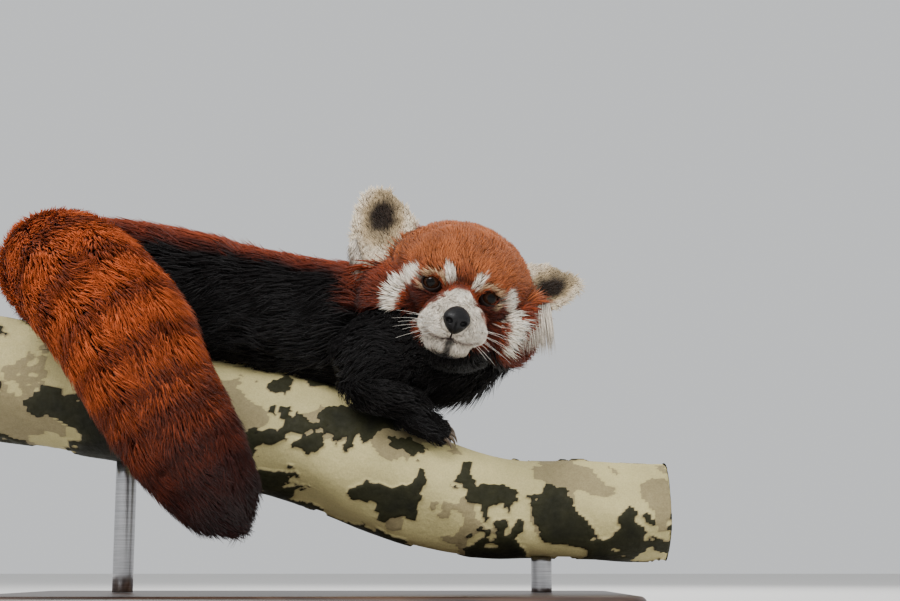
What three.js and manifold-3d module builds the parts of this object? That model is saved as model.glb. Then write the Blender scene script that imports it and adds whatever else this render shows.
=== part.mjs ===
// A life-size still model of a red panda lying along a cut length of plane-tree limb on a plain stand.
// Millimetres, +Z up. The animal's head end is towards +X and its right side faces -Y.
// The origin is on the underside of the stand's base, below the middle of the limb.
import * as THREE from 'three';
import { mergeVertices } from 'three/addons/utils/BufferGeometryUtils.js';
import Module from 'manifold-3d';

const wasm = await Module();
wasm.setup();

// Driving sizes.
const GAP = 0.35; // clearance between neighbouring nodes
const LOCK_ROOM = 3; // room round a coat's outline for its proud locks, kept free by its neighbours
const LEG_ROOM = 2; // the same round a leg, where its paw begins
const COAT = { neck: 20, torso: 24, leg: 8, tail: 26 }; // from the skin to the tips of the coat
const CORE = 0.5; // share of the coat's depth that each core fills
const SINK = 4; // how far a lock's root lies below the core's surface
const FUR_SEED = 4711;
const EYE_RADIUS = 8;
const LID = 1.6;
const FUSING = 0.1; // how closely fused locks keep their form
const ROUNDING = 1e3; // places kept of a millimetre
const EASING = [0.02, 0.04, 0.06, 0.08, 0.1, 0.13, 0.16, 0.2]; // closeness to the finished form, tried in turn

const STAND = { length: 480, width: 290, thickness: 20, middle: -12, edge: 5, rod: 8, rods: [-150, 175] };

const vec = (p) => new THREE.Vector3(...p);

// Solids

function solid(geometry) {
  const bare = new THREE.BufferGeometry()
    .setAttribute('position', geometry.getAttribute('position').clone())
    .setIndex(geometry.index);
  const merged = mergeVertices(bare, 1e-3);
  const triVerts = new Uint32Array(merged.index.array);
  const faces = [];
  for (let i = 0; i < triVerts.length; i += 3) {
    const [a, b, c] = triVerts.subarray(i, i + 3);
    if (a !== b && b !== c && c !== a) faces.push(a, b, c);
  }
  const vertProperties = merged.attributes.position.array;
  const mesh = (list) => new wasm.Mesh({ numProp: 3, vertProperties, triVerts: new Uint32Array(list) });
  const made = new wasm.Manifold(mesh(faces));
  if (made.volume() >= 0) return made;
  return new wasm.Manifold(mesh(faces.reverse()));
}

const join = (solids) => wasm.Manifold.union(solids);
const fused = (solids) => largest(join(solids)).simplify(FUSING);
const cut = (whole, solids) => solids.reduce((rest, piece) => rest.subtract(piece), whole);

function largest(made) {
  return made.decompose().reduce((best, body) => (body.volume() > best.volume() ? body : best));
}

// Keeps what a maker returns for each set of arguments.
function kept(make) {
  const made = new Map();
  return (...given) => {
    const key = given.join();
    if (!made.has(key)) made.set(key, make(...given));
    return made.get(key);
  };
}

// Whether more than two faces meet at an edge once the vertices are rounded.
function touches(made) {
  const { vertProperties, triVerts } = made.getMesh();
  const numbers = new Map();
  const uses = new Map();
  const corners = Array.from(triVerts, (v) => {
    const key = Array.from(vertProperties.subarray(3 * v, 3 * v + 3), (x) => Math.round(x * ROUNDING)).join();
    if (!numbers.has(key)) numbers.set(key, numbers.size);
    return numbers.get(key);
  });
  corners.forEach((from, i) => {
    const face = corners.slice(i - (i % 3), i - (i % 3) + 3);
    if (new Set(face).size < 3) return;
    const key = [from, face[(i + 1) % 3]].sort((a, b) => a - b).join();
    uses.set(key, (uses.get(key) ?? 0) + 1);
  });
  return [...uses.values()].some((count) => count !== 2);
}

// Simplifies a solid until nothing touches along an edge.
function sound(made) {
  let eased = made;
  for (const amount of EASING) {
    eased = largest(made.simplify(amount));
    if (!touches(eased)) break;
  }
  return eased;
}

function geometryOf(made) {
  const { vertProperties, triVerts } = sound(made).getMesh();
  return new THREE.BufferGeometry()
    .setAttribute('position', new THREE.BufferAttribute(vertProperties, 3))
    .setIndex(new THREE.BufferAttribute(triVerts, 1));
}

function reshaped(geometry, move) {
  const position = geometry.getAttribute('position');
  const point = new THREE.Vector3();
  for (let i = 0; i < position.count; i++) {
    move(point.fromBufferAttribute(position, i));
    position.setXYZ(i, point.x, point.y, point.z);
  }
  return geometry;
}

// Seeded draw from 0 to 1, so that every build is alike.
function draws(seed) {
  let state = seed;
  return () => {
    state = (state * 1664525 + 1013904223) % 4294967296;
    return state / 4294967296;
  };
}

// Limbs: a unit sphere bent along a curve through stations {at, wide, high, low} that reach the coat's tips.

class Limb {
  constructor(stations, across, { round = 0.14, coat = 0 } = {}) {
    this.line = new THREE.CatmullRomCurve3(stations.map((s) => vec(s.at)));
    this.sizes = new THREE.CatmullRomCurve3(
      stations.map((s) => new THREE.Vector3(s.wide, s.high ?? s.wide, s.low ?? s.high ?? s.wide)),
    );
    this.across = vec(across).normalize();
    this.round = round;
    this.coat = coat;
  }

  frame(t) {
    const along = this.line.getTangent(t);
    const up = new THREE.Vector3().crossVectors(along, this.across).normalize();
    const side = new THREE.Vector3().crossVectors(up, along).normalize();
    return { at: this.line.getPoint(t), along, up, side };
  }

  // Shrinks the section to nothing at both ends, as an ellipse does.
  taper(t) {
    const end = Math.min(t, 1 - t) / this.round;
    return end >= 1 ? 1 : Math.sqrt(Math.max(0, 1 - (1 - end) ** 2));
  }

  // The point at share t of the length and angle turn round it, inset from the outline.
  point(t, turn, inset = 0) {
    const { at, up, side, along } = this.frame(t);
    const size = this.sizes.getPoint(t);
    const shrink = this.taper(t);
    const wide = Math.max(0, (size.x - inset) * shrink);
    const high = Math.max(0, ((Math.sin(turn) > 0 ? size.y : size.z) - inset) * shrink);
    const stretch = t < 0.5 ? inset : -inset;
    const end = Math.max(0, 1 - Math.min(t, 1 - t) / this.round);
    return at
      .addScaledVector(side, Math.cos(turn) * wide)
      .addScaledVector(up, Math.sin(turn) * high)
      .addScaledVector(along, stretch * end);
  }

  normal(t, turn) {
    const step = 0.01;
    const along = this.point(Math.min(1, t + step), turn).sub(this.point(Math.max(0, t - step), turn));
    const round = this.point(t, turn + step).sub(this.point(t, turn - step));
    const out = new THREE.Vector3().crossVectors(round, along).normalize();
    const away = this.point(t, turn).sub(this.frame(t).at);
    return out.dot(away) < 0 ? out.negate() : out;
  }

  form(sides, steps, inset) {
    return solid(
      reshaped(new THREE.SphereGeometry(1, sides, steps), (p) => {
        const polar = Math.acos(THREE.MathUtils.clamp(p.y, -1, 1)) / Math.PI;
        const t = THREE.MathUtils.lerp(polar, (1 - p.y) / 2, 0.4);
        p.copy(this.point(t, Math.atan2(p.z, p.x), inset));
      }),
    );
  }

  core(sides, steps) {
    return this.form(sides, steps, this.coat * (1 - CORE));
  }

  // A lock's path: from its root in the core at t and turn, rising to the outline and a little proud of it.
  path(t, turn, { along, round, proud, thick }) {
    return (k) => {
      const share = THREE.MathUtils.clamp(t + along * k, 0.012, 0.988);
      const depth = this.coat * (1 - CORE) * (1 - rise(k)) + SINK * (1 - k) ** 3;
      const inset = depth - proud * k ** 3 + RIDGE * thick * (1 - 0.5 * k);
      return { at: this.point(share, turn + round * k, inset), out: this.normal(share, turn + round * k) };
    };
  }
}

// Locks: flat, tapered, bent along a path over the surface, with the root sunk in the core.

const draw = draws(FUR_SEED);
const RIDGE = 0.8; // how much of a lock's height lies below the outline
const about = (size, spread = 0.2) => size * (1 + spread * (2 * draw() - 1));
const radians = THREE.MathUtils.degToRad;

// How far from the core to the outline a lock has risen at share k of its length.
const rise = (k) => Math.sin((Math.PI / 2) * Math.min(1, 1.3 * Math.max(0, k)));

// The path gives {at, out} for a share k of the lock's length; the section is a low three-sided ridge.
function lock({ path, wide, thick, bends = 2 }) {
  return reshaped(new THREE.ConeGeometry(1, 1, 3, bends), (p) => {
    const k = p.y + 0.5;
    const { at, out } = path(k);
    const along = path(k + 0.05).at.sub(path(k - 0.05).at).normalize();
    const side = new THREE.Vector3().crossVectors(along, out).normalize();
    const up = new THREE.Vector3().crossVectors(side, along);
    const full = Math.hypot(p.x, p.z) > 1e-6 ? 1 : 0;
    const turn = Math.atan2(p.z, p.x);
    const half = full * wide * (0.72 + 0.33 * k - 0.45 * k ** 3);
    const deep = full * thick * (1 - 0.5 * k);
    p.copy(at).addScaledVector(side, (half * Math.cos(turn)) / Math.cos(Math.PI / 6));
    p.addScaledVector(up, deep * Math.sin(turn));
  });
}

// Locks in staggered rows round a limb, fanned between two turns in degrees and sagging at the sides.
function limbLocks(limb, { starts, turns, count, along, wide, thick, sag = 0, proud = 1.8 }) {
  return starts.flatMap((start, row) =>
    Array.from({ length: count }, (_, i) => {
      const share = (i + (row % 2 ? 0.25 : 0.75)) / count;
      const turn = radians(THREE.MathUtils.lerp(...turns, share)) + 0.15 * (draw() - 0.5);
      const t = start + 0.02 * (draw() - 0.5);
      const way = { along: about(along), round: -sag * Math.cos(turn), proud: about(proud, 0.5), thick };
      return { path: limb.path(t, turn, way), wide: about(wide), thick };
    }),
  );
}

// Blobs: ellipsoids {at, size, coat} that melt into each other, seen whole from one centre.

class Blob {
  constructor(masses, { blend, centre, aim, crowd = 1 }) {
    Object.assign(this, { masses, blend, centre, aim, crowd });
  }

  // About the distance to the surface, negative inside, with a share of each mass's own coat taken off.
  field(x, y, z, bare) {
    let field = Infinity;
    for (const { at, size, coat } of this.masses) {
      const [a, b, c] = [x - at[0], y - at[1], z - at[2]];
      const [p, q, r] = size.map((half) => half - coat * bare);
      const near = Math.hypot(a / p, b / q, c / r);
      const steep = Math.hypot(a / p ** 2, b / q ** 2, c / r ** 2);
      const d = steep > 0 ? (near * (near - 1)) / steep : -Math.min(p, q, r);
      const share = Number.isFinite(field) ? Math.max(0, 1 - Math.abs(field - d) / this.blend) : 0;
      field = Math.min(field, d) - (share * share * this.blend) / 4;
    }
    return field;
  }

  // How far along a ray the surface lies, grown by level.
  reach(from, way, { level = 0, bare = 0, far = 160 }) {
    let [low, high] = [0, far];
    for (let i = 0; i < 30; i++) {
      const mid = (low + high) / 2;
      if (this.field(...from.map((v, k) => v + way[k] * mid), bare) < level) low = mid;
      else high = mid;
    }
    return low;
  }

  // The direction at an angle from the aim and a turn round it, from the +X side over the top.
  way(polar, turn) {
    const flat = new THREE.Vector3(Math.cos(turn), 0, Math.sin(turn)).multiplyScalar(Math.sin(polar));
    return flat.addScaledVector(vec(this.aim), Math.cos(polar));
  }

  point(way, given) {
    return vec(this.centre).addScaledVector(way, this.reach(this.centre, way.toArray(), given));
  }

  normal({ x, y, z }) {
    const step = 0.5;
    const slope = (a, b, c) => this.field(x + a, y + b, z + c, 0) - this.field(x - a, y - b, z - c, 0);
    return new THREE.Vector3(slope(step, 0, 0), slope(0, step, 0), slope(0, 0, step)).normalize();
  }

  // crowd over 1 draws the rings of faces towards the aim.
  form(sides, rings, given) {
    return reshaped(new THREE.SphereGeometry(1, sides, rings), (p) => {
      const polar = Math.PI * (Math.acos(THREE.MathUtils.clamp(p.y, -1, 1)) / Math.PI) ** this.crowd;
      p.copy(this.point(this.way(polar, Math.atan2(p.z, p.x)), given));
    });
  }

  core(sides, rings) {
    return this.form(sides, rings, { bare: 1 - CORE });
  }

  path(polar, turn, { sweep, round, proud, thick }) {
    return (k) => {
      const level = proud * k ** 3 - SINK * (1 - k) ** 3 - RIDGE * thick * (1 - 0.5 * k);
      const way = this.way(polar + sweep * k, turn + round * k);
      const at = this.point(way, { level, bare: (1 - CORE) * (1 - rise(k)) });
      return { at, out: this.normal(at) };
    };
  }

  // Rows of locks that lie away from the aim: {polar, turns} in degrees, sagging at the sides.
  locks(rows, { sweep, wide, thick, sag, proud = 1.8 }) {
    return rows.flatMap(({ polar, turns }) =>
      turns.map((degrees) => {
        const turn = radians(degrees + 5 * (draw() - 0.5));
        const round = -sag * Math.cos(turn);
        const way = { sweep: radians(about(sweep)), round, proud: about(proud, 0.5), thick };
        return { path: this.path(radians(polar), turn, way), wide: about(wide), thick };
      }),
    );
  }
}

// Turns in degrees from one to the other, evenly spaced.
const fan = (from, to, count) =>
  Array.from({ length: count }, (_, i) => THREE.MathUtils.lerp(from, to, i / (count - 1)));

// The perch: a limb of plane tree, thicker at its left end, with a bend under the chest.

const PERCH = [
  { x: -300, z: 195, r: 48 }, { x: -255, z: 189, r: 48 }, { x: -175, z: 174, r: 48 },
  { x: -75, z: 152, r: 49 }, { x: -15, z: 140, r: 49 }, { x: 20, z: 128, r: 48 },
  { x: 60, z: 108, r: 45 }, { x: 96, z: 96, r: 43 }, { x: 145, z: 86, r: 39 },
  { x: 192, z: 83, r: 38 }, { x: 255, z: 82, r: 38 }, { x: 310, z: 84, r: 38 },
];
const PERCH_ENDS = [-272, 272];
const perchLine = new THREE.CatmullRomCurve3(PERCH.map((s) => new THREE.Vector3(s.x, 0, s.z)));
const perchSize = new THREE.CatmullRomCurve3(PERCH.map((s) => new THREE.Vector3(s.r, 0, 0)));

const perch = kept((grow = 0) => {
  const sides = 16;
  const steps = 21;
  const tube = new THREE.CylinderGeometry(1, 1, 1, sides, steps);
  const made = solid(
    reshaped(tube, (p) => {
      const t = 0.5 - p.y;
      const at = perchLine.getPoint(t);
      const along = perchLine.getTangent(t);
      const up = new THREE.Vector3(-along.z, 0, along.x);
      const turn = Math.atan2(p.z, p.x);
      const onRim = Math.hypot(p.x, p.z);
      const bump = 1.2 * Math.sin(3 * turn + 11 * t) + 0.9 * Math.sin(5 * turn - 23 * t);
      const r = onRim * (perchSize.getPoint(t).x + bump + grow);
      p.copy(at).addScaledVector(up, r * Math.sin(turn));
      p.y += r * Math.cos(turn);
    }),
  );
  const [low, high] = PERCH_ENDS;
  const trim = (x) => solid(new THREE.BoxGeometry(200, 300, 300).translate(x, 0, 140));
  return cut(made, [trim(low - 100 - grow), trim(high + 100 + grow)]);
});

// The stand: a flat base with softened edges and two short rods up to the perch.

function standBase() {
  const { length, width, thickness, edge } = STAND;
  const half = { x: length / 2 - edge, y: width / 2 - edge };
  const corner = 18;
  const outline = new THREE.Shape();
  outline.moveTo(-half.x + corner, -half.y);
  outline.lineTo(half.x - corner, -half.y).absarc(half.x - corner, -half.y + corner, corner, -Math.PI / 2, 0);
  outline.lineTo(half.x, half.y - corner).absarc(half.x - corner, half.y - corner, corner, 0, Math.PI / 2);
  outline.lineTo(-half.x + corner, half.y);
  outline.absarc(-half.x + corner, half.y - corner, corner, Math.PI / 2, Math.PI);
  outline.lineTo(-half.x, -half.y + corner);
  outline.absarc(-half.x + corner, -half.y + corner, corner, Math.PI, 1.5 * Math.PI);
  const slab = new THREE.ExtrudeGeometry(outline, {
    depth: thickness - 2 * edge, bevelThickness: edge, bevelSize: edge, bevelSegments: 2, curveSegments: 3,
  });
  return solid(slab.translate(0, STAND.middle, edge));
}

function standRod(x) {
  const low = STAND.thickness + GAP;
  const height = PERCH.findLast((s) => s.x <= x).z - low;
  const rod = new THREE.CylinderGeometry(STAND.rod, STAND.rod, height, 16).rotateX(Math.PI / 2);
  return largest(solid(rod.translate(x, 0, low + height / 2)).subtract(perch(GAP)));
}

// The head's own frame: across towards its left ear, ahead towards the nose, and up, from between the eyes.

const HEAD = { at: [112, -75, 245], ahead: [0.063, -0.983, -0.175], up: [0.264, -0.163, 0.951] };
const ahead = vec(HEAD.ahead).normalize();
const upward = vec(HEAD.up).addScaledVector(ahead, -vec(HEAD.up).dot(ahead)).normalize();
const across = new THREE.Vector3().crossVectors(upward, ahead);
const headMatrix = new THREE.Matrix4().makeBasis(across, ahead, upward).setPosition(vec(HEAD.at));
// The basis above is left-handed, so a solid placed by it has its faces turned back.
const inHead = (geometry) => solid(geometry.applyMatrix4(headMatrix));

// Rounded masses of the head, out to the coat's tips: centre, half sizes and depth of coat, in its frame.
const HEAD_MASSES = [
  { at: [0, -38, 6], size: [54, 52, 44], coat: 10 }, // skull
  { at: [0, -12, 17], size: [39, 25, 29], coat: 6 }, // forehead
  { at: [40, -32, -18], size: [32, 34, 33], coat: 20 }, // left cheek
  { at: [-40, -32, -18], size: [32, 34, 33], coat: 20 }, // right cheek
  { at: [0, 12, -22], size: [24, 28, 18], coat: 3 }, // muzzle
  { at: [11, 22, -28], size: [15, 17, 12], coat: 2 }, // left whisker pad
  { at: [-11, 22, -28], size: [15, 17, 12], coat: 2 }, // right whisker pad
  { at: [0, 6, -9], size: [12, 28, 12], coat: 1 }, // bridge of the nose
  { at: [0, 14, -43], size: [14, 19, 10], coat: 3 }, // chin
  { at: [0, -22, -38], size: [40, 36, 22], coat: 12 }, // jaw
];
const headBlob = new Blob(HEAD_MASSES, { blend: 9, centre: [0, -16, -12], aim: [0, 1, 0], crowd: 1.15 });
const HEAD_ROWS = [
  { polar: 58, turns: [...fan(-58, 2, 3), ...fan(178, 238, 3)] },
  { polar: 82, turns: [...fan(-72, 6, 4), ...fan(66, 114, 3), ...fan(174, 252, 4)] },
  { polar: 110, turns: [...fan(-60, 0, 3), ...fan(62, 118, 3), ...fan(180, 240, 3)] },
];
const headLocks = headBlob.locks(HEAD_ROWS, { sweep: 31, wide: 9.5, thick: 4, sag: 0.15, proud: 2.5 });

// How far forward the face stands at a place across and up it.
function faceAt(a, c) {
  return -20 + headBlob.reach([a, -20, c], [0, 1, 0], { far: 90 });
}

const EYE = { across: 21.5, ahead: -3.5, up: 0, out: 0.3, wide: 6.7, high: 5.4 };

function eyeball(side, radius = EYE_RADIUS) {
  const ball = new THREE.SphereGeometry(radius, 14, 9);
  return inHead(ball.translate(side * EYE.across, EYE.ahead, EYE.up));
}

// The almond between the lids, as a prism along the line of sight.
function eyeOpening(side) {
  const almond = new THREE.Shape();
  almond.moveTo(-EYE.wide, 0);
  almond.quadraticCurveTo(-EYE.wide * 0.5, EYE.high * 1.15, 0, EYE.high);
  almond.quadraticCurveTo(EYE.wide * 0.6, EYE.high * 0.9, EYE.wide, 0);
  almond.quadraticCurveTo(0, -EYE.high * 1.9, -EYE.wide, 0);
  const prism = new THREE.ExtrudeGeometry(almond, { depth: 26, bevelEnabled: false, curveSegments: 5 });
  prism.rotateX(-Math.PI / 2).rotateZ(-side * EYE.out);
  return inHead(prism.translate(side * EYE.across, EYE.ahead, EYE.up));
}

const NOSE = { at: [0, 41, -21], wide: 10.5, deep: 8, high: 9 };

function nosePad(grow = 0) {
  const ball = new THREE.SphereGeometry(1, 16, 10);
  return inHead(
    reshaped(ball, (p) => {
      const narrow = 1 - 0.28 * Math.max(0, -p.z);
      p.x *= (NOSE.wide + grow) * narrow;
      p.y *= NOSE.deep + grow;
      p.z *= NOSE.high + grow;
      p.add(vec(NOSE.at));
    }),
  );
}

function nostril(side) {
  const hole = new THREE.SphereGeometry(1, 8, 5).scale(2.6, 4, 1.7);
  hole.rotateY(side * 0.5).rotateZ(-side * 0.5);
  return inHead(hole.translate(side * 5.6, NOSE.at[1] + 6.4, NOSE.at[2] - 1.5));
}

// The line of the lips: down from the nose, then back along each side of the muzzle.
const LIPS = [[0, -37], [6, -38.5], [12, -38.2], [17, -36.5], [21, -34.5]];

function lipTube(side, radius, proud) {
  const points = LIPS.map(([a, c]) => new THREE.Vector3(side * a, faceAt(side * a, c) + proud, c));
  const path = new THREE.CatmullRomCurve3(points);
  const section = new THREE.Shape().absarc(0, 0, radius, 0, 2 * Math.PI);
  const tube = new THREE.ExtrudeGeometry(section, { steps: 10, extrudePath: path, curveSegments: 3 });
  return inHead(tube);
}

const headRoom = kept((room) => inHead(headBlob.form(28, 18, { level: room })));

function head() {
  const lids = [-1, 1].map((side) => eyeball(side, EYE_RADIUS + LID));
  const lips = [-1, 1].map((side) => lipTube(side, 1.9, -0.4));
  const coat = headLocks.map((spec) => inHead(lock(spec)));
  const whole = fused([inHead(headBlob.core(26, 18)), ...lids, ...lips, ...coat]);
  const mouth = [-1, 1].map((side) => lipTube(side, 0.8, 1.1));
  const sockets = [-1, 1].flatMap((side) => [eyeOpening(side), eyeball(side, EYE_RADIUS + GAP)]);
  const ears = [-1, 1].map((side) => petal(side, -GAP, 0));
  return cut(whole, [...mouth, ...sockets, ...ears, nosePad(GAP)]);
}

// Ears: an upright petal hollowed from the front, with long tufts in the cup and below its outer edge.
// The left one lies lower, turned up and seen aslant.
const EAR = { turn: 0.2, wide: 31, tall: 50, root: 24, deep: 16, wall: 4.5 };
const EAR_SET = {
  right: { base: [62, -38, 17], lean: 0.45, twist: 0 },
  left: { base: [48, -38, 18], lean: 1.25, twist: 0.85 },
};
const EAR_TUFTS = [
  { from: [-15, 0, 6], to: [-17, 6, 34], wide: 5 }, { from: [-5, -2, 4], to: [-4, 6, 36], wide: 5 },
  { from: [6, -2, 4], to: [9, 6, 33], wide: 5 }, { from: [16, 0, 4], to: [22, 7, 24], wide: 5 },
  { from: [21, 4, 4], to: [37, 7, -6], wide: 5.5 }, { from: [17, 6, -4], to: [31, 11, -22], wide: 5.5 },
  { from: [8, 8, -8], to: [20, 15, -34], wide: 5 },
];

// Sets a shape of the ear's own frame, with its outer edge towards +X, on one side of the head.
function onEar(geometry, side) {
  const { base, lean, twist } = side < 0 ? EAR_SET.right : EAR_SET.left;
  const turned = reshaped(geometry, (p) => p.setX(side * p.x));
  turned.rotateZ(side * twist).rotateY(side * lean).rotateZ(-side * EAR.turn);
  return inHead(turned.translate(side * base[0], base[1], base[2]));
}

function petal(side, shrink, forward) {
  const petalShape = reshaped(new THREE.SphereGeometry(1, 12, 8), (p) => {
    const up = (p.z + 1) / 2;
    p.x *= (EAR.wide - shrink) * (1 - 0.38 * up ** 2);
    p.y = p.y * (EAR.deep - shrink) * (1 - 0.45 * up) + forward;
    p.z = up * (EAR.tall - shrink + EAR.root) - EAR.root + shrink * 0.6;
  });
  return onEar(petalShape, side);
}

function earTuft({ from, to, wide }, side) {
  const path = (k) => {
    const at = vec(from).lerp(vec(to), k);
    at.y += 5 * Math.sin(Math.PI * k);
    return { at, out: new THREE.Vector3(0, 1, 0) };
  };
  return onEar(lock({ path, wide, thick: 2.4 }), side);
}

function ear(side) {
  const cup = largest(cut(petal(side, 0, 0), [petal(side, EAR.wall, EAR.wall + 3)]));
  const tufts = join(EAR_TUFTS.map((spec) => earTuft(spec, side)));
  return join([cup, cut(tufts, [headRoom(LOCK_ROOM), neckRoom(LOCK_ROOM)])]);
}

// The trunk of the body, from the chest to the rump, and the neck that turns to the right.

const torsoLimb = new Limb(
  [
    { at: [148, 2, 213], wide: 42, high: 38, low: 32 },
    { at: [112, 4, 208], wide: 58, high: 56, low: 38 },
    { at: [76, 5, 214], wide: 64, high: 60, low: 52 },
    { at: [36, 7, 224], wide: 64, high: 56, low: 54 },
    { at: [-4, 8, 231], wide: 62, high: 54, low: 54 },
    { at: [-50, 8, 240], wide: 62, high: 53, low: 54 },
    { at: [-97, 4, 250], wide: 64, high: 54, low: 54 },
    { at: [-150, -2, 258], wide: 66, high: 55, low: 54 },
    { at: [-196, -14, 256], wide: 60, high: 54, low: 50 },
    { at: [-228, -32, 250], wide: 42, high: 42, low: 38 },
  ],
  [0, -1, 0],
  { round: 0.12, coat: COAT.torso },
);
const torsoLocks = [
  ...limbLocks(torsoLimb, {
    starts: [0.2, 0.34, 0.48, 0.62, 0.76],
    turns: [-25, 205], count: 6, along: 0.19, wide: 20, thick: 6, sag: 0.25,
  }),
  ...limbLocks(torsoLimb, { starts: [0.87], turns: [-50, 230], count: 5, along: 0.1, wide: 16, thick: 6 }),
  ...limbLocks(torsoLimb, {
    starts: [0.14], turns: [-85, 10], count: 3, along: -0.11, wide: 12, thick: 5, proud: 6,
  }),
];

const neckBlob = new Blob(
  [
    { at: [84, 10, 222], size: [50, 52, 54], coat: COAT.neck },
    { at: [106, -8, 234], size: [58, 50, 53], coat: COAT.neck },
    { at: [113, -38, 240], size: [57, 40, 50], coat: COAT.neck },
  ],
  { blend: 14, centre: [102, -10, 232], aim: [0, -1, 0] },
);
const NECK_ROWS = [
  { polar: 74, turns: fan(-25, 205, 6) },
  { polar: 104, turns: fan(10, 170, 4) },
];
const neckLocks = neckBlob.locks(NECK_ROWS, { sweep: 34, wide: 16, thick: 5, sag: 0.2, proud: 2 });

const neckRoom = kept((room) => solid(neckBlob.form(20, 14, { level: room })));
const torsoRoom = kept((room) => torsoLimb.form(20, 20, -room));

function neck() {
  const whole = fused([solid(neckBlob.core(16, 11)), ...neckLocks.map((spec) => solid(lock(spec)))]);
  return cut(whole, [perch(GAP), headRoom(LOCK_ROOM), petal(-1, -GAP, 0), petal(1, -GAP, 0)]);
}

function torso() {
  const whole = fused([torsoLimb.core(18, 17), ...torsoLocks.map((spec) => solid(lock(spec)))]);
  return cut(whole, [perch(GAP), neckRoom(LOCK_ROOM), headRoom(LOCK_ROOM)]);
}

// Legs, each of an upper and a lower limb: side is -1 on the animal's right, towards -Y, and 1 on its left.

const FAR_FORE = -19; // how far behind the right foreleg the left one lies, and so on for the hind legs
const FAR_HIND = 14;

const legLimbs = (...parts) => parts.map((part) => new Limb(part, [0, 1, 0], { round: 0.25, coat: COAT.leg }));

function foreLimbs(side) {
  const x = side > 0 ? FAR_FORE : 0;
  const upper = [
    { at: [96 + x, side * 20, 226], wide: 27, high: 30 },
    { at: [62 + x, side * 48, 208], wide: 30, high: 34 },
    { at: [34 + x, side * 60, 194], wide: 25, high: 27 },
    { at: [18 + x, side * 63, 186], wide: 20, high: 20 },
  ];
  const lower = [
    { at: [20 + x, side * 63, 186], wide: 21, high: 21 },
    { at: [46 + x, side * 53, 174], wide: 22, high: 20 },
    { at: [72 + x, side * 39, 163], wide: 17, high: 15 },
    { at: [86 + x, side * 33, 155], wide: 15, high: 12 },
  ];
  return legLimbs(upper, lower);
}

function hindLimbs(side) {
  const x = side > 0 ? FAR_HIND : 0;
  const upper = [
    { at: [-196 + x, side * 20, 260], wide: 28, high: 34 },
    { at: [-160 + x, side * 48, 246], wide: 31, high: 40 },
    { at: [-126 + x, side * 61, 228], wide: 25, high: 30 },
    { at: [-106 + x, side * 64, 214], wide: 18, high: 20 },
  ];
  const lower = [
    { at: [-106 + x, side * 64, 212], wide: 19, high: 19 },
    { at: [-128 + x, side * 58, 204], wide: 19, high: 18 },
    { at: [-150 + x, side * 53, 198], wide: 17, high: 15 },
    { at: [-164 + x, side * 50, 194], wide: 15, high: 13 },
  ];
  return legLimbs(upper, lower);
}

// Locks on the outer half of each limb: turn 90 is up on the first of the two and down on the second.
const LEG_LOCKS = [
  { starts: [0.34, 0.62], count: 3, along: 0.36, wide: 12, thick: 3, proud: 0.8 },
  { starts: [0.25], count: 2, along: 0.4, wide: 9, thick: 3, proud: 0.8 },
];

const legRoom = (limbs) => join(limbs.map((limb) => limb.form(12, 10, -LEG_ROOM)));
const foreRoom = kept((side) => legRoom(foreLimbs(side)));
const hindRoom = kept((side) => legRoom(hindLimbs(side)));

function clad(limbs, side) {
  const turns = side < 0 ? [-70, 100] : [80, 250];
  const coats = limbs.map((limb, i) => limbLocks(limb, { ...LEG_LOCKS[i], turns }));
  return fused([...limbs.map((limb) => limb.core(10, 8)), ...coats.flat().map((spec) => solid(lock(spec)))]);
}

function foreleg(side) {
  const room = [perch(GAP), torsoRoom(LOCK_ROOM), headRoom(LOCK_ROOM), neckRoom(LOCK_ROOM)];
  return cut(clad(foreLimbs(side), side), room);
}

function hindleg(side) {
  return cut(clad(hindLimbs(side), side), [perch(GAP), torsoRoom(LOCK_ROOM)]);
}

// Paws: a pad with five toes, each ending in a curved claw, pointing along +X and down the perch.
const PAW = { toes: 5, spread: 7.2, toe: [11, 5.4, 6], claw: 9 };
const FORE_PAWS = { at: [80, -34, 151], slope: 0.46, roll: 0.55, length: 22, shift: FAR_FORE };
const HIND_PAWS = { at: [-126, -41, 195], slope: 0.2, roll: 0.75, length: 36, shift: FAR_HIND };

function paw(side, place) {
  const { at, slope, roll, length } = place;
  const pieces = [];
  const pad = new THREE.SphereGeometry(1, 10, 6);
  pieces.push(pad.scale(length, 16, 11.5));
  for (let i = 0; i < PAW.toes; i++) {
    const off = (i - (PAW.toes - 1) / 2) / 2;
    const reachOut = length * 0.86 - 5 * off * off;
    const toe = new THREE.SphereGeometry(1, 6, 5).scale(...PAW.toe);
    pieces.push(toe.rotateY(0.25).translate(reachOut, 2 * off * PAW.spread, -1));
    const claw = new THREE.ConeGeometry(1, 1, 4, 2);
    reshaped(claw, (p) => {
      const k = p.y + 0.5;
      p.set(k * PAW.claw, p.x * 1.6, p.z * 2.1 - 5.5 * k * k);
    });
    pieces.push(claw.translate(reachOut + 8.5, 2 * off * PAW.spread, 0.5));
  }
  const shift = side > 0 ? place.shift : 0;
  const lift = place.shift * Math.tan(slope) * (side > 0 ? -1 : 0);
  const placed = pieces.map((g) =>
    solid(g.rotateY(slope).rotateX(-side * roll).translate(at[0] + shift, -side * at[1], at[2] + lift)),
  );
  return join(placed);
}

function forepaw(side) {
  const room = [perch(GAP), foreRoom(side), torsoRoom(LOCK_ROOM), neckRoom(LOCK_ROOM), headRoom(LOCK_ROOM)];
  return cut(paw(side, FORE_PAWS), room);
}

function hindpaw(side) {
  return cut(paw(side, HIND_PAWS), [perch(GAP), hindRoom(side), torsoRoom(LOCK_ROOM)]);
}

// The tail, in four lengths, bending round the right haunch and hanging past the perch.

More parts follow.
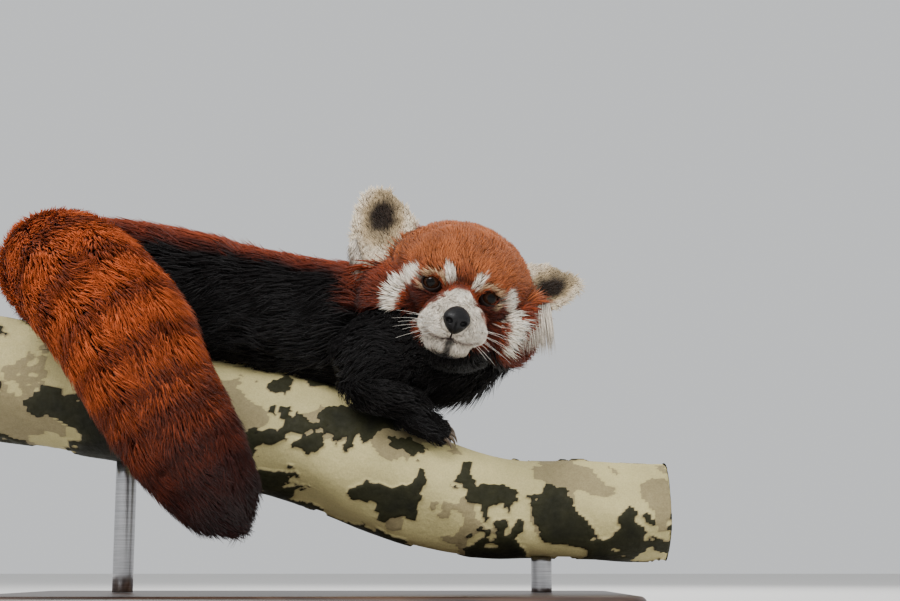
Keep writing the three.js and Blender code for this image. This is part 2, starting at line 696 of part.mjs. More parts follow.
const tailLimb = new Limb(
  [
    { at: [-200, -30, 254], wide: 30 },
    { at: [-192, -84, 260], wide: 41 },
    { at: [-164, -124, 244], wide: 47 },
    { at: [-130, -138, 206], wide: 49 },
    { at: [-106, -136, 164], wide: 46 },
    { at: [-82, -130, 124], wide: 41 },
    { at: [-60, -124, 90], wide: 32 },
    { at: [-42, -119, 62], wide: 20 },
  ],
  [0.7, 0.3, 0.7],
  { round: 0.16, coat: COAT.tail },
);
const tailLocks = limbLocks(tailLimb, {
  starts: [0.08, 0.2, 0.32, 0.44, 0.56, 0.68, 0.8],
  turns: [0, 360], count: 6, along: 0.17, wide: 17, thick: 6, proud: 3,
});
const wholeTail = kept(() => fused([tailLimb.core(14, 18), ...tailLocks.map((spec) => solid(lock(spec)))]));
const TAIL_SPLITS = [0, 0.3, 0.52, 0.74, 1];

// A slab across the tail between two shares of its length, to part it with thin cuts.
function tailLength(from, to) {
  const size = 260;
  const slab = (t, way) => {
    const { at, along, side, up } = tailLimb.frame(t);
    const box = new THREE.BoxGeometry(size, size, size).translate(0, 0, (way * (size - GAP)) / 2);
    return solid(box.applyMatrix4(new THREE.Matrix4().makeBasis(side, up, along).setPosition(at)));
  };
  const cuts = [];
  if (from > 0) cuts.push(slab(from, -1));
  if (to < 1) cuts.push(slab(to, 1));
  return cuts;
}

function tail(index) {
  const parted = tailLength(TAIL_SPLITS[index], TAIL_SPLITS[index + 1]);
  return cut(wholeTail(), [...parted, torsoRoom(LOCK_ROOM), hindRoom(-1), perch(GAP)]);
}

// The whole model

const FINISH = {
  redFur: { color: 0x8a3d1c, roughness: 0.95 },
  blackFur: { color: 0x120c0b, roughness: 0.95 },
  paleFur: { color: 0xe2d6c4, roughness: 0.95 },
  eye: { color: 0x120805, roughness: 0.05 },
  nose: { color: 0x1b1b1d, roughness: 0.45 },
  bark: { color: 0xa59a78, roughness: 0.85 },
  base: { color: 0x2b2522, roughness: 0.5 },
  steel: { color: 0x9a9a9a, roughness: 0.35, metalness: 1 },
};
const materials = Object.fromEntries(
  Object.entries(FINISH).map(([name, finish]) => [name, new THREE.MeshStandardMaterial(finish)]),
);

const model = new THREE.Group();
function add(name, made, finish) {
  const mesh = new THREE.Mesh(geometryOf(made), materials[finish]);
  mesh.name = name;
  model.add(mesh);
}

add('stand_base', standBase(), 'base');
add('stand_rod_left', standRod(STAND.rods[0]), 'steel');
add('stand_rod_right', standRod(STAND.rods[1]), 'steel');
add('perch_branch', perch(), 'bark');
add('head', head(), 'redFur');
add('nose', largest(cut(nosePad(), [nostril(-1), nostril(1)])), 'nose');
add('neck', neck(), 'redFur');
add('torso', torso(), 'redFur');
for (let i = 0; i < TAIL_SPLITS.length - 1; i++) add(`tail_${i + 1}`, tail(i), 'redFur');
for (const [name, side] of [['right', -1], ['left', 1]]) {
  add(`eye_${name}`, eyeball(side), 'eye');
  add(`ear_${name}`, ear(side), 'paleFur');
  add(`foreleg_${name}`, foreleg(side), 'blackFur');
  add(`forepaw_${name}`, forepaw(side), 'blackFur');
  add(`hindleg_${name}`, hindleg(side), 'blackFur');
  add(`hindpaw_${name}`, hindpaw(side), 'blackFur');
}

export default model;
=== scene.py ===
"""A life-size still model of a red panda lying along a cut length of plane-tree limb on a plain stand.

Shapes are worked out in millimetres and set in metres. The animal's head end is towards +X and its right
side faces -Y. The head has a frame of its own: across towards its left ear, ahead towards the nose, and up.
"""

import math

import bmesh
import bpy
import numpy as np
from bpy.props import FloatProperty, FloatVectorProperty, IntProperty, PointerProperty
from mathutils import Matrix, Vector, noise


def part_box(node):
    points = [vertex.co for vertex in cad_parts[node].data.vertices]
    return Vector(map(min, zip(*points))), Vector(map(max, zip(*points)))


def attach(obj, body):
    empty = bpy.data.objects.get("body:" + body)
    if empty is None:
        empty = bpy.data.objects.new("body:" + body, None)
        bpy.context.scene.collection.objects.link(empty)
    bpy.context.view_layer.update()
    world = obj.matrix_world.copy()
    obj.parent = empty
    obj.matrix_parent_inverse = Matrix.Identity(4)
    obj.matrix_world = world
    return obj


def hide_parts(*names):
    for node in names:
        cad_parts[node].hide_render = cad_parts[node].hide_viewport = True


bl_info = {
    "name": "Red panda on a perch",
    "version": (1, 0, 0),
    "blender": (4, 5, 0),
    "location": "View3D > Sidebar > Red panda",
    "description": "A life-size still red panda on a cut plane-tree limb, with its coat as solid tufts",
    "category": "Object",
}

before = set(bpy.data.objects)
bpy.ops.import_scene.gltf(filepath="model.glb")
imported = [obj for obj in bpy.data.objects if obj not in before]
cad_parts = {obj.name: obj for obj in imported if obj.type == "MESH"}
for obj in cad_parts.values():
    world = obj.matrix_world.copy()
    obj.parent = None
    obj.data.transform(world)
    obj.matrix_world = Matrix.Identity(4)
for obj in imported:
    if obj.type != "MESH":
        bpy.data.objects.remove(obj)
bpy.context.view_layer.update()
MM = 0.001
STEP = 0.004  # share of a line over which its direction is taken
UNDER = 0.6  # share of the coat's depth at which the skin lies below the coat's outline
SKIN_PAINTED_SHADE = 0.85  # the skin's colours against those of the coat over it, darker as painted shade under the coat
SKIN_SMOOTHING = 9  # rounds of smoothing of the skin
SKIN_POINTS = 620000  # places on the skin among which the tufts' roots are drawn
BUNCH = 60000  # points worked on at once, to spare memory
MOST_TUFTS = 19900  # in one coat piece, which keeps it below 200,000 triangles
PATCH_HALF = 0.0015  # half the size of a tuft's patch on the map OFBake
LOCKS_PER_EAR = 520
# Numbers of the parts that a point can lie on. From FIRST_LEG on come the eight lengths of the legs.
TRUNK_PART, TAIL_PART, FIRST_LEG, HEAD_PART, NECK_PART, PAW_PART, EAR_PART = 0, 1, 2, 10, 11, 12, 13
FLESH_NODES = [
    "head", "neck", "torso", "tail_1", "tail_2", "tail_3", "tail_4",
    "ear_right", "ear_left", "foreleg_right", "foreleg_left", "forepaw_right", "forepaw_left",
    "hindleg_right", "hindleg_left", "hindpaw_right", "hindpaw_left",
]


# Sums on rows of points


def unit(rows):
    return rows / np.maximum(np.linalg.norm(rows, axis=-1, keepdims=True), 1e-9)


def smooth(low, high, value):
    """A soft step from 0 at low to 1 at high."""
    share = np.clip((value - low) / (high - low), 0, 1)
    return share * share * (3 - 2 * share)


def spline(rows, t):
    """Rows of numbers read as one smooth curve, at shares t of the way along them."""
    rows = np.asarray(rows, float)
    last = len(rows) - 1
    at = np.clip(t, 0, 1) * last
    row = np.minimum(at.astype(int), last - 1)
    f = (at - row)[:, None]
    ends = np.vstack([2 * rows[0] - rows[1], rows, 2 * rows[-1] - rows[-2]])
    a, b, c, d = (ends[row + k] for k in range(4))
    return 0.5 * (2 * b + (c - a) * f + (2 * a - 5 * b + 4 * c - d) * f**2 + (3 * b - a - 3 * c + d) * f**3)


def wander(points, wavelength, seed):
    """A smooth random field over space, about -1 to 1."""
    draw = np.random.default_rng(seed)
    waves = draw.normal(size=(7, 3)) * (2 * math.pi / wavelength) / 1.7
    phases = draw.uniform(0, 2 * math.pi, 7)
    return np.sin(points @ waves.T + phases).sum(axis=1) / 3.2


def linear(colour):
    """A colour of 0 to 255, as a screen shows it, in the values that light adds up in."""
    share = np.asarray(colour, float) / 255
    return np.where(share <= 0.04045, share / 12.92, ((share + 0.055) / 1.055) ** 2.4)


def tone(*colour):
    """A colour of 0 to 255 for a shader."""
    return tuple(linear(colour))


def scaled(colour, factor):
    return tuple(factor * value for value in colour)


def mix(first, second, share):
    return first + (second - first) * np.asarray(share)[..., None]


# The body, out to the coat's tips. A station is its place, half width, and half height above and below.


class Limb:
    """A bent, tapering form through stations, with rounded ends."""

    def __init__(self, stations, across, coat, rounding=0.14):
        self.line = [station[0] for station in stations]
        self.sizes = [station[1:] for station in stations]
        self.across = np.array(across, float) / np.linalg.norm(across)
        self.coat = coat
        self.rounding = rounding

    def frame(self, t):
        """The middle line's places at shares t of its length, and the ways along, up and sideways there."""
        along = unit(spline(self.line, t + STEP) - spline(self.line, t - STEP))
        up = unit(np.cross(along, self.across))
        return spline(self.line, t), along, up, unit(np.cross(up, along))

    def point(self, t, turn, inset):
        """Places on the outline at shares t and turns round it, drawn in by inset."""
        at, along, up, side = self.frame(t)
        size = spline(self.sizes, t)
        end = np.minimum(t, 1 - t) / self.rounding
        shrink = np.where(end >= 1, 1, np.sqrt(np.maximum(0, 1 - (1 - np.minimum(end, 1)) ** 2)))
        wide = np.maximum(0, size[:, 0] - inset) * shrink
        high = np.maximum(0, np.where(np.sin(turn) > 0, size[:, 1], size[:, 2]) - inset) * shrink
        draw_in = np.where(t < 0.5, inset, -inset) * np.maximum(0, 1 - end)
        return (
            at
            + side * (np.cos(turn) * wide)[:, None]
            + up * (np.sin(turn) * high)[:, None]
            + along * draw_in[:, None]
        )


TORSO = Limb(
    [
        ((148, 2, 213), 42, 38, 32), ((112, 4, 208), 58, 56, 38), ((76, 5, 214), 64, 60, 52),
        ((36, 7, 224), 64, 56, 54), ((-4, 8, 231), 62, 54, 54), ((-50, 8, 240), 62, 53, 54),
        ((-97, 4, 250), 64, 54, 54), ((-150, -2, 258), 66, 55, 54), ((-196, -14, 256), 60, 54, 50),
        ((-228, -32, 250), 42, 42, 38),
    ],
    (0, -1, 0), 24, 0.12,
)
TAIL = Limb(
    [
        ((-200, -30, 254), 30, 30, 30), ((-192, -84, 260), 41, 41, 41), ((-164, -124, 244), 47, 47, 47),
        ((-130, -138, 206), 49, 49, 49), ((-106, -136, 164), 46, 46, 46), ((-82, -130, 124), 41, 41, 41),
        ((-60, -124, 90), 32, 32, 32), ((-42, -119, 62), 20, 20, 20),
    ],
    (0.7, 0.3, 0.7), 26, 0.16,
)
FAR_FORE, FAR_HIND = -19, 14  # how far along the left legs lie from the right ones


def leg(stations, side, shift):
    """One length of a leg. Those of the left side are shifted along the perch."""
    far = shift if side > 0 else 0
    return Limb([((x + far, side * y, z), w, h, h) for x, y, z, w, h in stations], (0, 1, 0), 8, 0.25)


# Stations of the legs: place, half width and half height
FORE_UPPER = [(96, 20, 226, 27, 30), (62, 48, 208, 30, 34), (34, 60, 194, 25, 27), (18, 63, 186, 20, 20)]
FORE_LOWER = [(20, 63, 186, 21, 21), (46, 53, 174, 22, 20), (72, 39, 163, 17, 15), (86, 33, 155, 15, 12)]
HIND_UPPER = [
    (-196, 20, 260, 28, 34), (-160, 48, 246, 31, 40), (-126, 61, 228, 25, 30), (-106, 64, 214, 18, 20),
]
HIND_LOWER = [
    (-106, 64, 212, 19, 19), (-128, 58, 204, 19, 18), (-150, 53, 198, 17, 15), (-164, 50, 194, 15, 13),
]
LEGS = [
    leg(stations, side, shift)
    for side in (-1, 1)
    for stations, shift in (
        (FORE_UPPER, FAR_FORE), (FORE_LOWER, FAR_FORE), (HIND_UPPER, FAR_HIND), (HIND_LOWER, FAR_HIND),
    )
]

# Paws: place of the pad, slope down the perch, roll round it, half length
PAWS = [((80, -34, 151), 0.46, 0.55, 22, FAR_FORE), ((-126, -41, 195), 0.2, 0.75, 36, FAR_HIND)]
TOES, TOE_SPREAD, TOE_SIZE = 5, 7.2, (11, 5.4, 6)


def paw_place(side, paw, points):
    """Points of a paw's own frame, toes along +X and sole down, set in the world."""
    (x, y, z), slope, roll, _, shift = paw
    p = leant(np.atleast_2d(np.asarray(points, float)), slope)
    turn = -side * roll
    p = np.stack([p[:, 0], p[:, 1] * math.cos(turn) - p[:, 2] * math.sin(turn),
                  p[:, 1] * math.sin(turn) + p[:, 2] * math.cos(turn)], axis=1)
    far = shift if side > 0 else 0
    return p + (x + far, -side * y, z - (far * math.tan(slope)))


def toe_roots(length):
    """Where each toe starts: along the paw and across it."""
    for i in range(TOES):
        off = (i - (TOES - 1) / 2) / 2
        yield length * 0.86 - 5 * off * off, 2 * off * TOE_SPREAD


# The head and the neck: ellipsoids (centre, half sizes, depth of coat)

HEAD_AT = np.array([112.0, -75.0, 245.0])
AHEAD = unit(np.array([0.063, -0.983, -0.175]))
UPWARD = np.array([0.264, -0.163, 0.951])
UPWARD = unit(UPWARD - AHEAD * (UPWARD @ AHEAD))
ACROSS = np.cross(UPWARD, AHEAD)
HEAD_MASSES = [
    ((0, -38, 6), (54, 52, 44), 10), ((0, -12, 17), (39, 25, 29), 9), ((40, -32, -18), (32, 34, 33), 20),
    ((-40, -32, -18), (32, 34, 33), 20), ((0, 12, -22), (24, 28, 18), 3), ((11, 22, -28), (15, 17, 12), 2),
    ((-11, 22, -28), (15, 17, 12), 2), ((0, 6, -9), (12, 28, 12), 1), ((0, 12, -41), (18, 18, 8.5), 3),
    ((0, -22, -38), (40, 36, 22), 12),
]
NECK_MASSES = [
    ((84, 10, 222), (50, 52, 54), 20), ((106, -8, 234), (58, 50, 53), 20),
    ((113, -38, 240), (57, 40, 50), 20),
]
EYE_ACROSS, EYE_AHEAD, EYE_OUT = 21.5, -3.5, 0.3
EYE_WIDE, EYE_HIGH = 6.6, 5.4
NOSE_AT, NOSE_SIZE = (0, 41, -22.5), (10.2, 8, 10.4)
LIPS = [(0, -37), (6, -38.5), (12, -38.2), (17, -36.5), (21, -34.5)]
EAR_TURN, EAR_WIDE, EAR_TALL, EAR_ROOT, EAR_DEEP, EAR_WALL = 0.2, 31, 50, 24, 16, 5
EAR_SET = {-1: ((62, -38, 17), 0.45, 0.0), 1: ((48, -38, 18), 1.25, 0.85)}  # base, lean outwards, twist


def head_place(points):
    """Points (across, ahead, up) of the head's frame, set in the world."""
    p = np.atleast_2d(np.asarray(points, float))
    return HEAD_AT + p[:, :1] * ACROSS + p[:, 1:2] * AHEAD + p[:, 2:] * UPWARD


def in_head(points):
    """Points of the world, in the head's frame."""
    off = np.atleast_2d(points) - HEAD_AT
    return head_ways(off)


def head_ways(rows):
    """Directions of the world, in the head's frame."""
    return np.stack([rows @ ACROSS, rows @ AHEAD, rows @ UPWARD], axis=1)


def lip_height(across):
    """How high the line of the lips is at a distance from the middle of the face."""
    return np.interp(across, *zip(*LIPS))


def turned(rows, angle):
    """Rows turned about the third axis."""
    x, y = rows[:, 0], rows[:, 1]
    return np.stack([x * math.cos(angle) - y * math.sin(angle), x * math.sin(angle) + y * math.cos(angle),
                     rows[:, 2]], axis=1)


def leant(rows, angle):
    """Rows turned about the second axis."""
    x, z = rows[:, 0], rows[:, 2]
    return np.stack([x * math.cos(angle) + z * math.sin(angle), rows[:, 1],
                     -x * math.sin(angle) + z * math.cos(angle)], axis=1)


def ear_place(side, points):
    """Points of an ear's frame, outer edge towards +X, tip up and cup ahead, in the head's frame."""
    (x, y, z), lean, twist = EAR_SET[side]
    p = turned(np.asarray(points, float) * (side, 1, 1), side * twist)
    return turned(leant(p, side * lean), -side * EAR_TURN) + (side * x, y, z)


def in_ear(side, points):
    """Points of the head's frame, in an ear's frame."""
    (x, y, z), lean, twist = EAR_SET[side]
    p = leant(turned(points - (side * x, y, z), side * EAR_TURN), -side * lean)
    return turned(p, -side * twist) * (side, 1, 1)


def eye_frame(side):
    """An eye's centre, line of sight, up and across, in the world."""
    centre = head_place((side * EYE_ACROSS, EYE_AHEAD, 0))[0]
    sight = ACROSS * side * math.sin(EYE_OUT) + AHEAD * math.cos(EYE_OUT)
    return centre, sight, UPWARD, np.cross(sight, UPWARD)


# Markings


class Palette:
    """The coat's colours, read from the settings."""

    def __init__(self, settings):
        for name in ("red", "dark_red", "rust", "black", "white", "cream", "ear_dark", "ring", "tip"):
            setattr(self, name, np.array(getattr(settings, name)))


# The white cheek stripe from the eye down, how far it reaches sideways, and the muzzle's half width by height
STRIPE = [(38, -2, 8), (46, -5, 0), (52, -3, -16), (50, -6, -36)]
STRIPE_REACH = [(4,), (6.5,), (7,), (4.5,)]
MUZZLE = [
    (-50, 15), (-44, 21), (-38, 24), (-32, 27.5), (-24, 26.5), (-14, 19), (-8, 14), (-4, 11.5), (0, 5),
]


def head_colour(p, palette):
    """The colour of the coat at points of the head's frame."""
    a, b, c = p[:, 0], p[:, 1], p[:, 2]
    side = np.abs(a)
    stray = 1.6 * wander(p, 9, 5)
    # Orange-brown over the forehead, red-brown on the cheeks and dark down their outer edges.
    colour = mix(palette.red, palette.rust, smooth(-2, 24, c + stray))
    colour = mix(colour, palette.dark_red, 0.8 * smooth(6, -34, c + 2 * stray) * smooth(30, 62, side))
    bridge = smooth(8, 3, side) * smooth(-4, 4, c) * smooth(24, 14, c)
    colour = mix(colour, palette.dark_red, 0.5 * bridge)
    # Dark band from the eye down to the throat.
    band = 31 - 0.16 * c
    tear = smooth(9, 4.5, np.abs(side - band)) * smooth(0, -7, c + stray) * smooth(-14, 6, b + 20)
    colour = mix(colour, palette.dark_red * 0.6, 0.92 * tear)
    under = smooth(9, 5, np.hypot(side - 22, c + 8)) * smooth(3, -2, c)
    colour = mix(colour, palette.dark_red * 0.75, 0.8 * under)
    # Cream crescent above and outside each eye.
    ring = np.hypot(side - 22.5, (c - 0.5) * 1.05)
    crescent = smooth(2.8, 1.4, np.abs(ring - 10.2)) * smooth(-2, 4, (side - 22) * 0.8 + c)
    colour = mix(colour, palette.cream, 0.6 * crescent * smooth(-40, -25, b))
    # White brow spots, cheek stripes and muzzle.
    brow = np.hypot((side - 12 - 0.3 * (c - 12)) / 4.8, (c - 12.5) / 6.8) + 0.05 * stray
    colour = mix(colour, palette.white, smooth(1.15, 0.75, brow) * smooth(-40, -25, b))
    steps = np.linspace(0, 1, 16)
    off = np.stack([side, b, c], axis=1)[:, None, :] - spline(STRIPE, steps)[None]
    stripe = (np.linalg.norm(off, axis=2) / spline(STRIPE_REACH, steps)[None, :, 0]).min(axis=1)
    colour = mix(colour, palette.white, smooth(1.25, 0.85, stripe + 0.06 * stray))
    edge = np.interp(c, *zip(*MUZZLE))
    muzzle = smooth(edge + 1.4, edge - 1.6, side + 0.7 * stray) * smooth(2, -1.5, c)
    muzzle = muzzle * smooth(-53, -48, c + stray)
    colour = mix(colour, palette.white, muzzle * smooth(-26, -14, b))
    # Grey-brown round the lips, two small white lobes of the chin, and the black throat.
    lip = 0.6 * smooth(2.6, 0.6, np.abs(c - lip_height(side)))
    colour = mix(colour, palette.dark_red * 0.5, lip * smooth(26, 18, side) * smooth(-5, 6, b))
    cleft = smooth(5, 1.5, side + 0.4 * stray) * smooth(-35, -37.5, c) * smooth(-10, 4, b)
    colour = mix(colour, palette.black, 0.85 * cleft)
    throat = smooth(-46, -50, c + 0.5 * stray - 0.05 * (side - 20))
    colour = mix(colour, palette.black, throat)
    jaw = smooth(-34, -42, c + stray) * smooth(edge, edge + 5, side) * smooth(44, 34, side)
    colour = mix(colour, palette.black, jaw)
    behind = smooth(-34, -50, c + stray) * smooth(-30, -60, b)
    return mix(colour, palette.black, behind)


# Height of the back's outline along X, and how far the red reaches down from it
BACK_LINE = [
    (-245, 271), (-218, 301), (-178, 314), (-126, 309), (-97, 303), (-57, 295), (-17, 287), (16, 281),
    (64, 276), (110, 275), (150, 262),
]
CAPE = [(-240, 70), (-200, 46), (-170, 26), (-120, 17), (-40, 15), (30, 17), (70, 30), (110, 34)]


def body_colour(p, palette):
    """The colour of the coat of the trunk, neck and legs at points of the world."""
    x, _, z = p.T
    stray = 4 * wander(p, 22, 8)
    below = np.interp(x, *zip(*BACK_LINE)) - z
    cape = np.interp(x, *zip(*CAPE))
    red = smooth(cape + 6, cape - 6, below + stray)
    return mix(palette.black, mix(palette.dark_red, palette.red, smooth(14, 0, below)), red)


TAIL_RINGS = 14


def tail_colour(t, turn, p, palette):
    """Rings, rust and dark in turn, that close up to a dark tip."""
    wave = np.sin(2 * math.pi * (TAIL_RINGS * t + 0.15 * np.sin(turn) + 0.05 * wander(p, 18, 3)) + 0.4)
    pale = mix(palette.ring, palette.dark_red, 0.9 * smooth(0.4, 0.72, t))
    dark = mix(mix(palette.dark_red, palette.ring, 0.3), palette.dark_red * 0.5, smooth(0.4, 0.75, t))
    colour = mix(dark, pale, smooth(-0.9, 0.3, wave))
    return mix(colour, palette.tip, smooth(0.62, 0.85, t))


def ear_colour(p, facing, palette):
    """Pale rim and cup, a dark patch in the cup and a red-brown back, in the ear's frame."""
    x, _, z = p.T
    patch = np.hypot((x + 1 + 0.25 * (z - 25)) / 17.5, (z - 25) / 21) + 0.08 * wander(p, 12, 6)
    front = mix(palette.ear_dark, palette.cream * 0.75, smooth(0.35, 1.0, patch))
    front = mix(front, mix(palette.white, palette.cream, 0.45), smooth(0.85, 1.25, patch))
    back = mix(palette.dark_red, palette.white, smooth(26, 46, z + 0.45 * np.abs(x)))
    return mix(back, front, smooth(-0.35, 0.1, facing))


# Which part of the animal a point lies on


class Places:
    """For points of the world: the part they lie on, how far along and round it, and the lie of its coat."""

    def __init__(self, points, normals):
        count = len(points)
        self.part = np.zeros(count, int)
        self.near = np.full(count, np.inf)
        self.t = np.zeros(count)
        self.turn = np.zeros(count)
        self.depth = np.zeros(count)
        self.lie = np.zeros((count, 3))
        self.points = points
        for number, limb in enumerate([TORSO, TAIL, *LEGS]):
            self._limb(number, limb)
        self.head = in_head(points)
        self._masses(HEAD_PART, HEAD_MASSES, self.head, (0, -20, 0))
        self._masses(NECK_PART, NECK_MASSES, points, (100, 0, 232))
        self._paws()
        away = unit(points - head_place((0, 18, -18)))
        fore = np.isin(self.part, (HEAD_PART, NECK_PART))
        self.lie[fore] = away[fore]
        self._ears(normals)

    def _limb(self, number, limb):
        t = np.linspace(0.02, 0.98, 18 if number >= FIRST_LEG else 56)
        at, along, up, side = limb.frame(t)
        size = spline(limb.sizes, t)
        radius = size.mean(axis=1) * np.minimum(1, 0.45 + np.minimum(t, 1 - t) * 5)
        for start in range(0, len(self.points), BUNCH):
            bunch = slice(start, start + BUNCH)
            off = self.points[bunch, None, :] - at[None]
            score = np.linalg.norm(off, axis=2) / radius
            best, value = score.argmin(axis=1), score.min(axis=1)
            index = np.where(value < self.near[bunch])[0]
            chosen, place = best[index], start + index
            off = off[index, chosen]
            self.near[place] = value[index]
            self.part[place] = number
            self.t[place] = t[chosen] + (off * along[chosen]).sum(1) / 400
            self.turn[place] = np.arctan2((off * up[chosen]).sum(1), (off * side[chosen]).sum(1))
            self.depth[place] = limb.coat * UNDER
            self.lie[place] = along[chosen]

    def _masses(self, number, masses, points, centre):
        scores = np.stack([np.linalg.norm((points - at) / (np.array(size) - coat * UNDER), axis=1)
                           for at, size, coat in masses])
        near = scores.min(axis=0)
        if number == HEAD_PART:
            self.near_head = near
        weights = np.exp(-14 * (scores - near))
        depth = (weights * np.array([coat for _, _, coat in masses])[:, None]).sum(0) / weights.sum(0)
        won = near < self.near * 1.02
        self.near[won] = near[won]
        self.part[won] = number
        self.depth[won] = depth[won] * UNDER
        off = points[won] - centre
        self.turn[won] = np.arctan2(off[:, 0], off[:, 1])
        self.t[won] = np.arccos(np.clip(unit(off)[:, 2], -1, 1)) / math.pi

    def _paws(self):
        for side in (-1, 1):
            for which, paw in enumerate(PAWS):
                middle, toe = paw_place(side, paw, [(0, 0, 0), (paw[3], 0, 0)])
                score = np.minimum(
                    np.linalg.norm(self.points - middle, axis=1) / (0.7 * paw[3] + 6),
                    np.linalg.norm(self.points - toe, axis=1) / 19,
                )
                won = score < self.near
                self.near[won] = score[won]
                self.part[won] = PAW_PART
                self.depth[won] = 1.4
                self.lie[won] = unit(toe - middle)
                self.t[won] = np.clip((self.points[won] - middle) @ unit(toe - middle) / 100 + 0.5, 0, 1)
                self.turn[won] = (self.points[won, 2] - middle[2]) / 30 + 1.5 * which + 3 * (side > 0) - 3

    def _ears(self, normals):
        self.ear_side = np.zeros(len(self.points), int)
        self.facing = np.zeros(len(self.points))
        head, ahead = self.head, head_ways(normals)
        for side in (-1, 1):
            p = in_ear(side, head)
            up = (p[:, 2] + EAR_ROOT) / (EAR_TALL + EAR_ROOT)
            wide = np.hypot(p[:, 0] / (EAR_WIDE + 3), 2 * up - 1)
            won = (wide < 1.12) & (self.near_head > 1.07) & (np.abs(p[:, 1] + 6) < 17) & (p[:, 2] > -14)
            self.part[won] = EAR_PART
            self.depth[won] = 2.2
            self.ear_side[won] = side
            self.facing[won] = (in_ear(side, head + ahead) - p)[won, 1]
            outward = np.stack([0.5 * p[:, 0] / EAR_WIDE, 0 * up, 0.6 + 0 * up], axis=1)
            tip = ear_place(side, p + outward) - head
            self.lie[won] = unit(tip[:, :1] * ACROSS + tip[:, 1:2] * AHEAD + tip[:, 2:] * UPWARD)[won]
            self.t[won] = np.clip(up[won], 0, 1)
            self.turn[won] = p[won, 0] / 16 + (1.5 if side > 0 else -1.5)

    def ear_rows(self, rows, points):
        """Points near the chosen rows, in the frame of the ear that each row stands on."""
        head = in_head(points)
        right, left = in_ear(-1, head), in_ear(1, head)
        return np.where((self.ear_side[rows] < 0)[:, None], right, left)

    def colours(self, rows, points, palette):
        """The coat's colour at points near the chosen rows."""
        part, near = self.part[rows], self.near_head[rows]
        head = in_head(points)
        a, _, c = head.T
        ruff = 0.75 * smooth(42, 60, np.abs(a)) * smooth(-40, -26, c)
        share = 1 / (1 + np.exp(np.clip(14 * (near - 1.42 - ruff), -30, 30)))
        share = np.where(part == HEAD_PART, np.maximum(share, 0.5 + 0.5 * smooth(1.15, 1.0, near)), share)
        share = np.where(np.isin(part, (HEAD_PART, NECK_PART)), share, 0)
        beside = 0.85 * smooth(-97, -82, a) * smooth(-50, -60, a) * smooth(-44, -26, c) * smooth(44, 26, c)
        share = np.maximum(share, np.where(np.isin(part, (TRUNK_PART, NECK_PART)), beside, 0))
        colour = mix(body_colour(points, palette), head_colour(head, palette), share)
        tail, ear = part == TAIL_PART, part == EAR_PART
        colour[tail] = tail_colour(self.t[rows][tail], self.turn[rows][tail], points[tail], palette)
        colour[ear] = ear_colour(self.ear_rows(rows, points)[ear], self.facing[rows][ear], palette)
        return colour


# Mesh helpers


def add_object(name, data):
    """Links a new object to the scene."""
    made = bpy.data.objects.new(name, data)
    bpy.context.collection.objects.link(made)
    return made


def keep(name, bm, smooth_faces=True):
    """Makes a bmesh a new object of the scene, its normals outwards."""
    bmesh.ops.recalc_face_normals(bm, faces=bm.faces)
    for face in bm.faces:
        face.smooth = smooth_faces
    mesh = bpy.data.meshes.new(name)
    bm.to_mesh(mesh)
    bm.free()
    return add_object(name, mesh)


def ball(bm, across, round_it, place):
    """A unit sphere whose corners place(rows) sets, in millimetres of the world."""
    verts = bmesh.ops.create_uvsphere(bm, u_segments=across, v_segments=round_it, radius=1)["verts"]
    rows = place(np.array([v.co for v in verts]))
    for v, row in zip(verts, rows * MM):
        v.co = row
    return verts


def bar(bm, sides, cuts, place):
    """A closed bar: place(k, turn) sets the rings from k = 0 to 1, in millimetres of the world."""
    for v in bm.verts:
        v.tag = True
    verts = bmesh.ops.create_cone(
        bm, cap_ends=True, cap_tris=False, segments=sides, radius1=1, radius2=1, depth=1
    )["verts"]
    edges = {e for v in verts for e in v.link_edges if abs(e.verts[0].co.z - e.verts[1].co.z) > 0.5}
    bmesh.ops.subdivide_edges(bm, edges=list(edges), cuts=cuts, use_grid_fill=True)
    verts = [v for v in bm.verts if not v.tag]
    k = np.array([v.co.z + 0.5 for v in verts])
    turn = np.array([math.atan2(v.co.y, v.co.x) for v in verts])
    for v, row in zip(verts, place(k, turn) * MM):
        v.co = row
    return verts


def curved_bar(bm, sides, cuts, path, radius):
    """A bar along a path of rows, its radius a function of k."""

    def place(k, turn):
        at = spline(path, k)
        along = unit(spline(path, k + 0.01) - spline(path, k - 0.01))
        side = unit(np.cross(along, (0.31, 0.2, 0.93)))
        up = np.cross(side, along)
        r = radius(k)[:, None]
        return at + side * (np.cos(turn)[:, None] * r) + up * (np.sin(turn)[:, None] * r)

    return bar(bm, sides, cuts, place)


def give_colour(mesh, colours):
    """Stores linear colours on a mesh's points."""
    attribute = mesh.color_attributes.new("coat colour", "FLOAT_COLOR", "POINT")
    rows = np.ones((len(mesh.vertices), 4), np.float32)
    rows[:, :3] = colours
    attribute.data.foreach_set("color", rows.ravel())


def corners(mesh, what="co"):
    """The places of a mesh's points, or their normals."""
    rows = np.zeros(len(mesh.vertices) * 3)
    mesh.vertices.foreach_get(what, rows)
    return rows.reshape(-1, 3)


# Materials


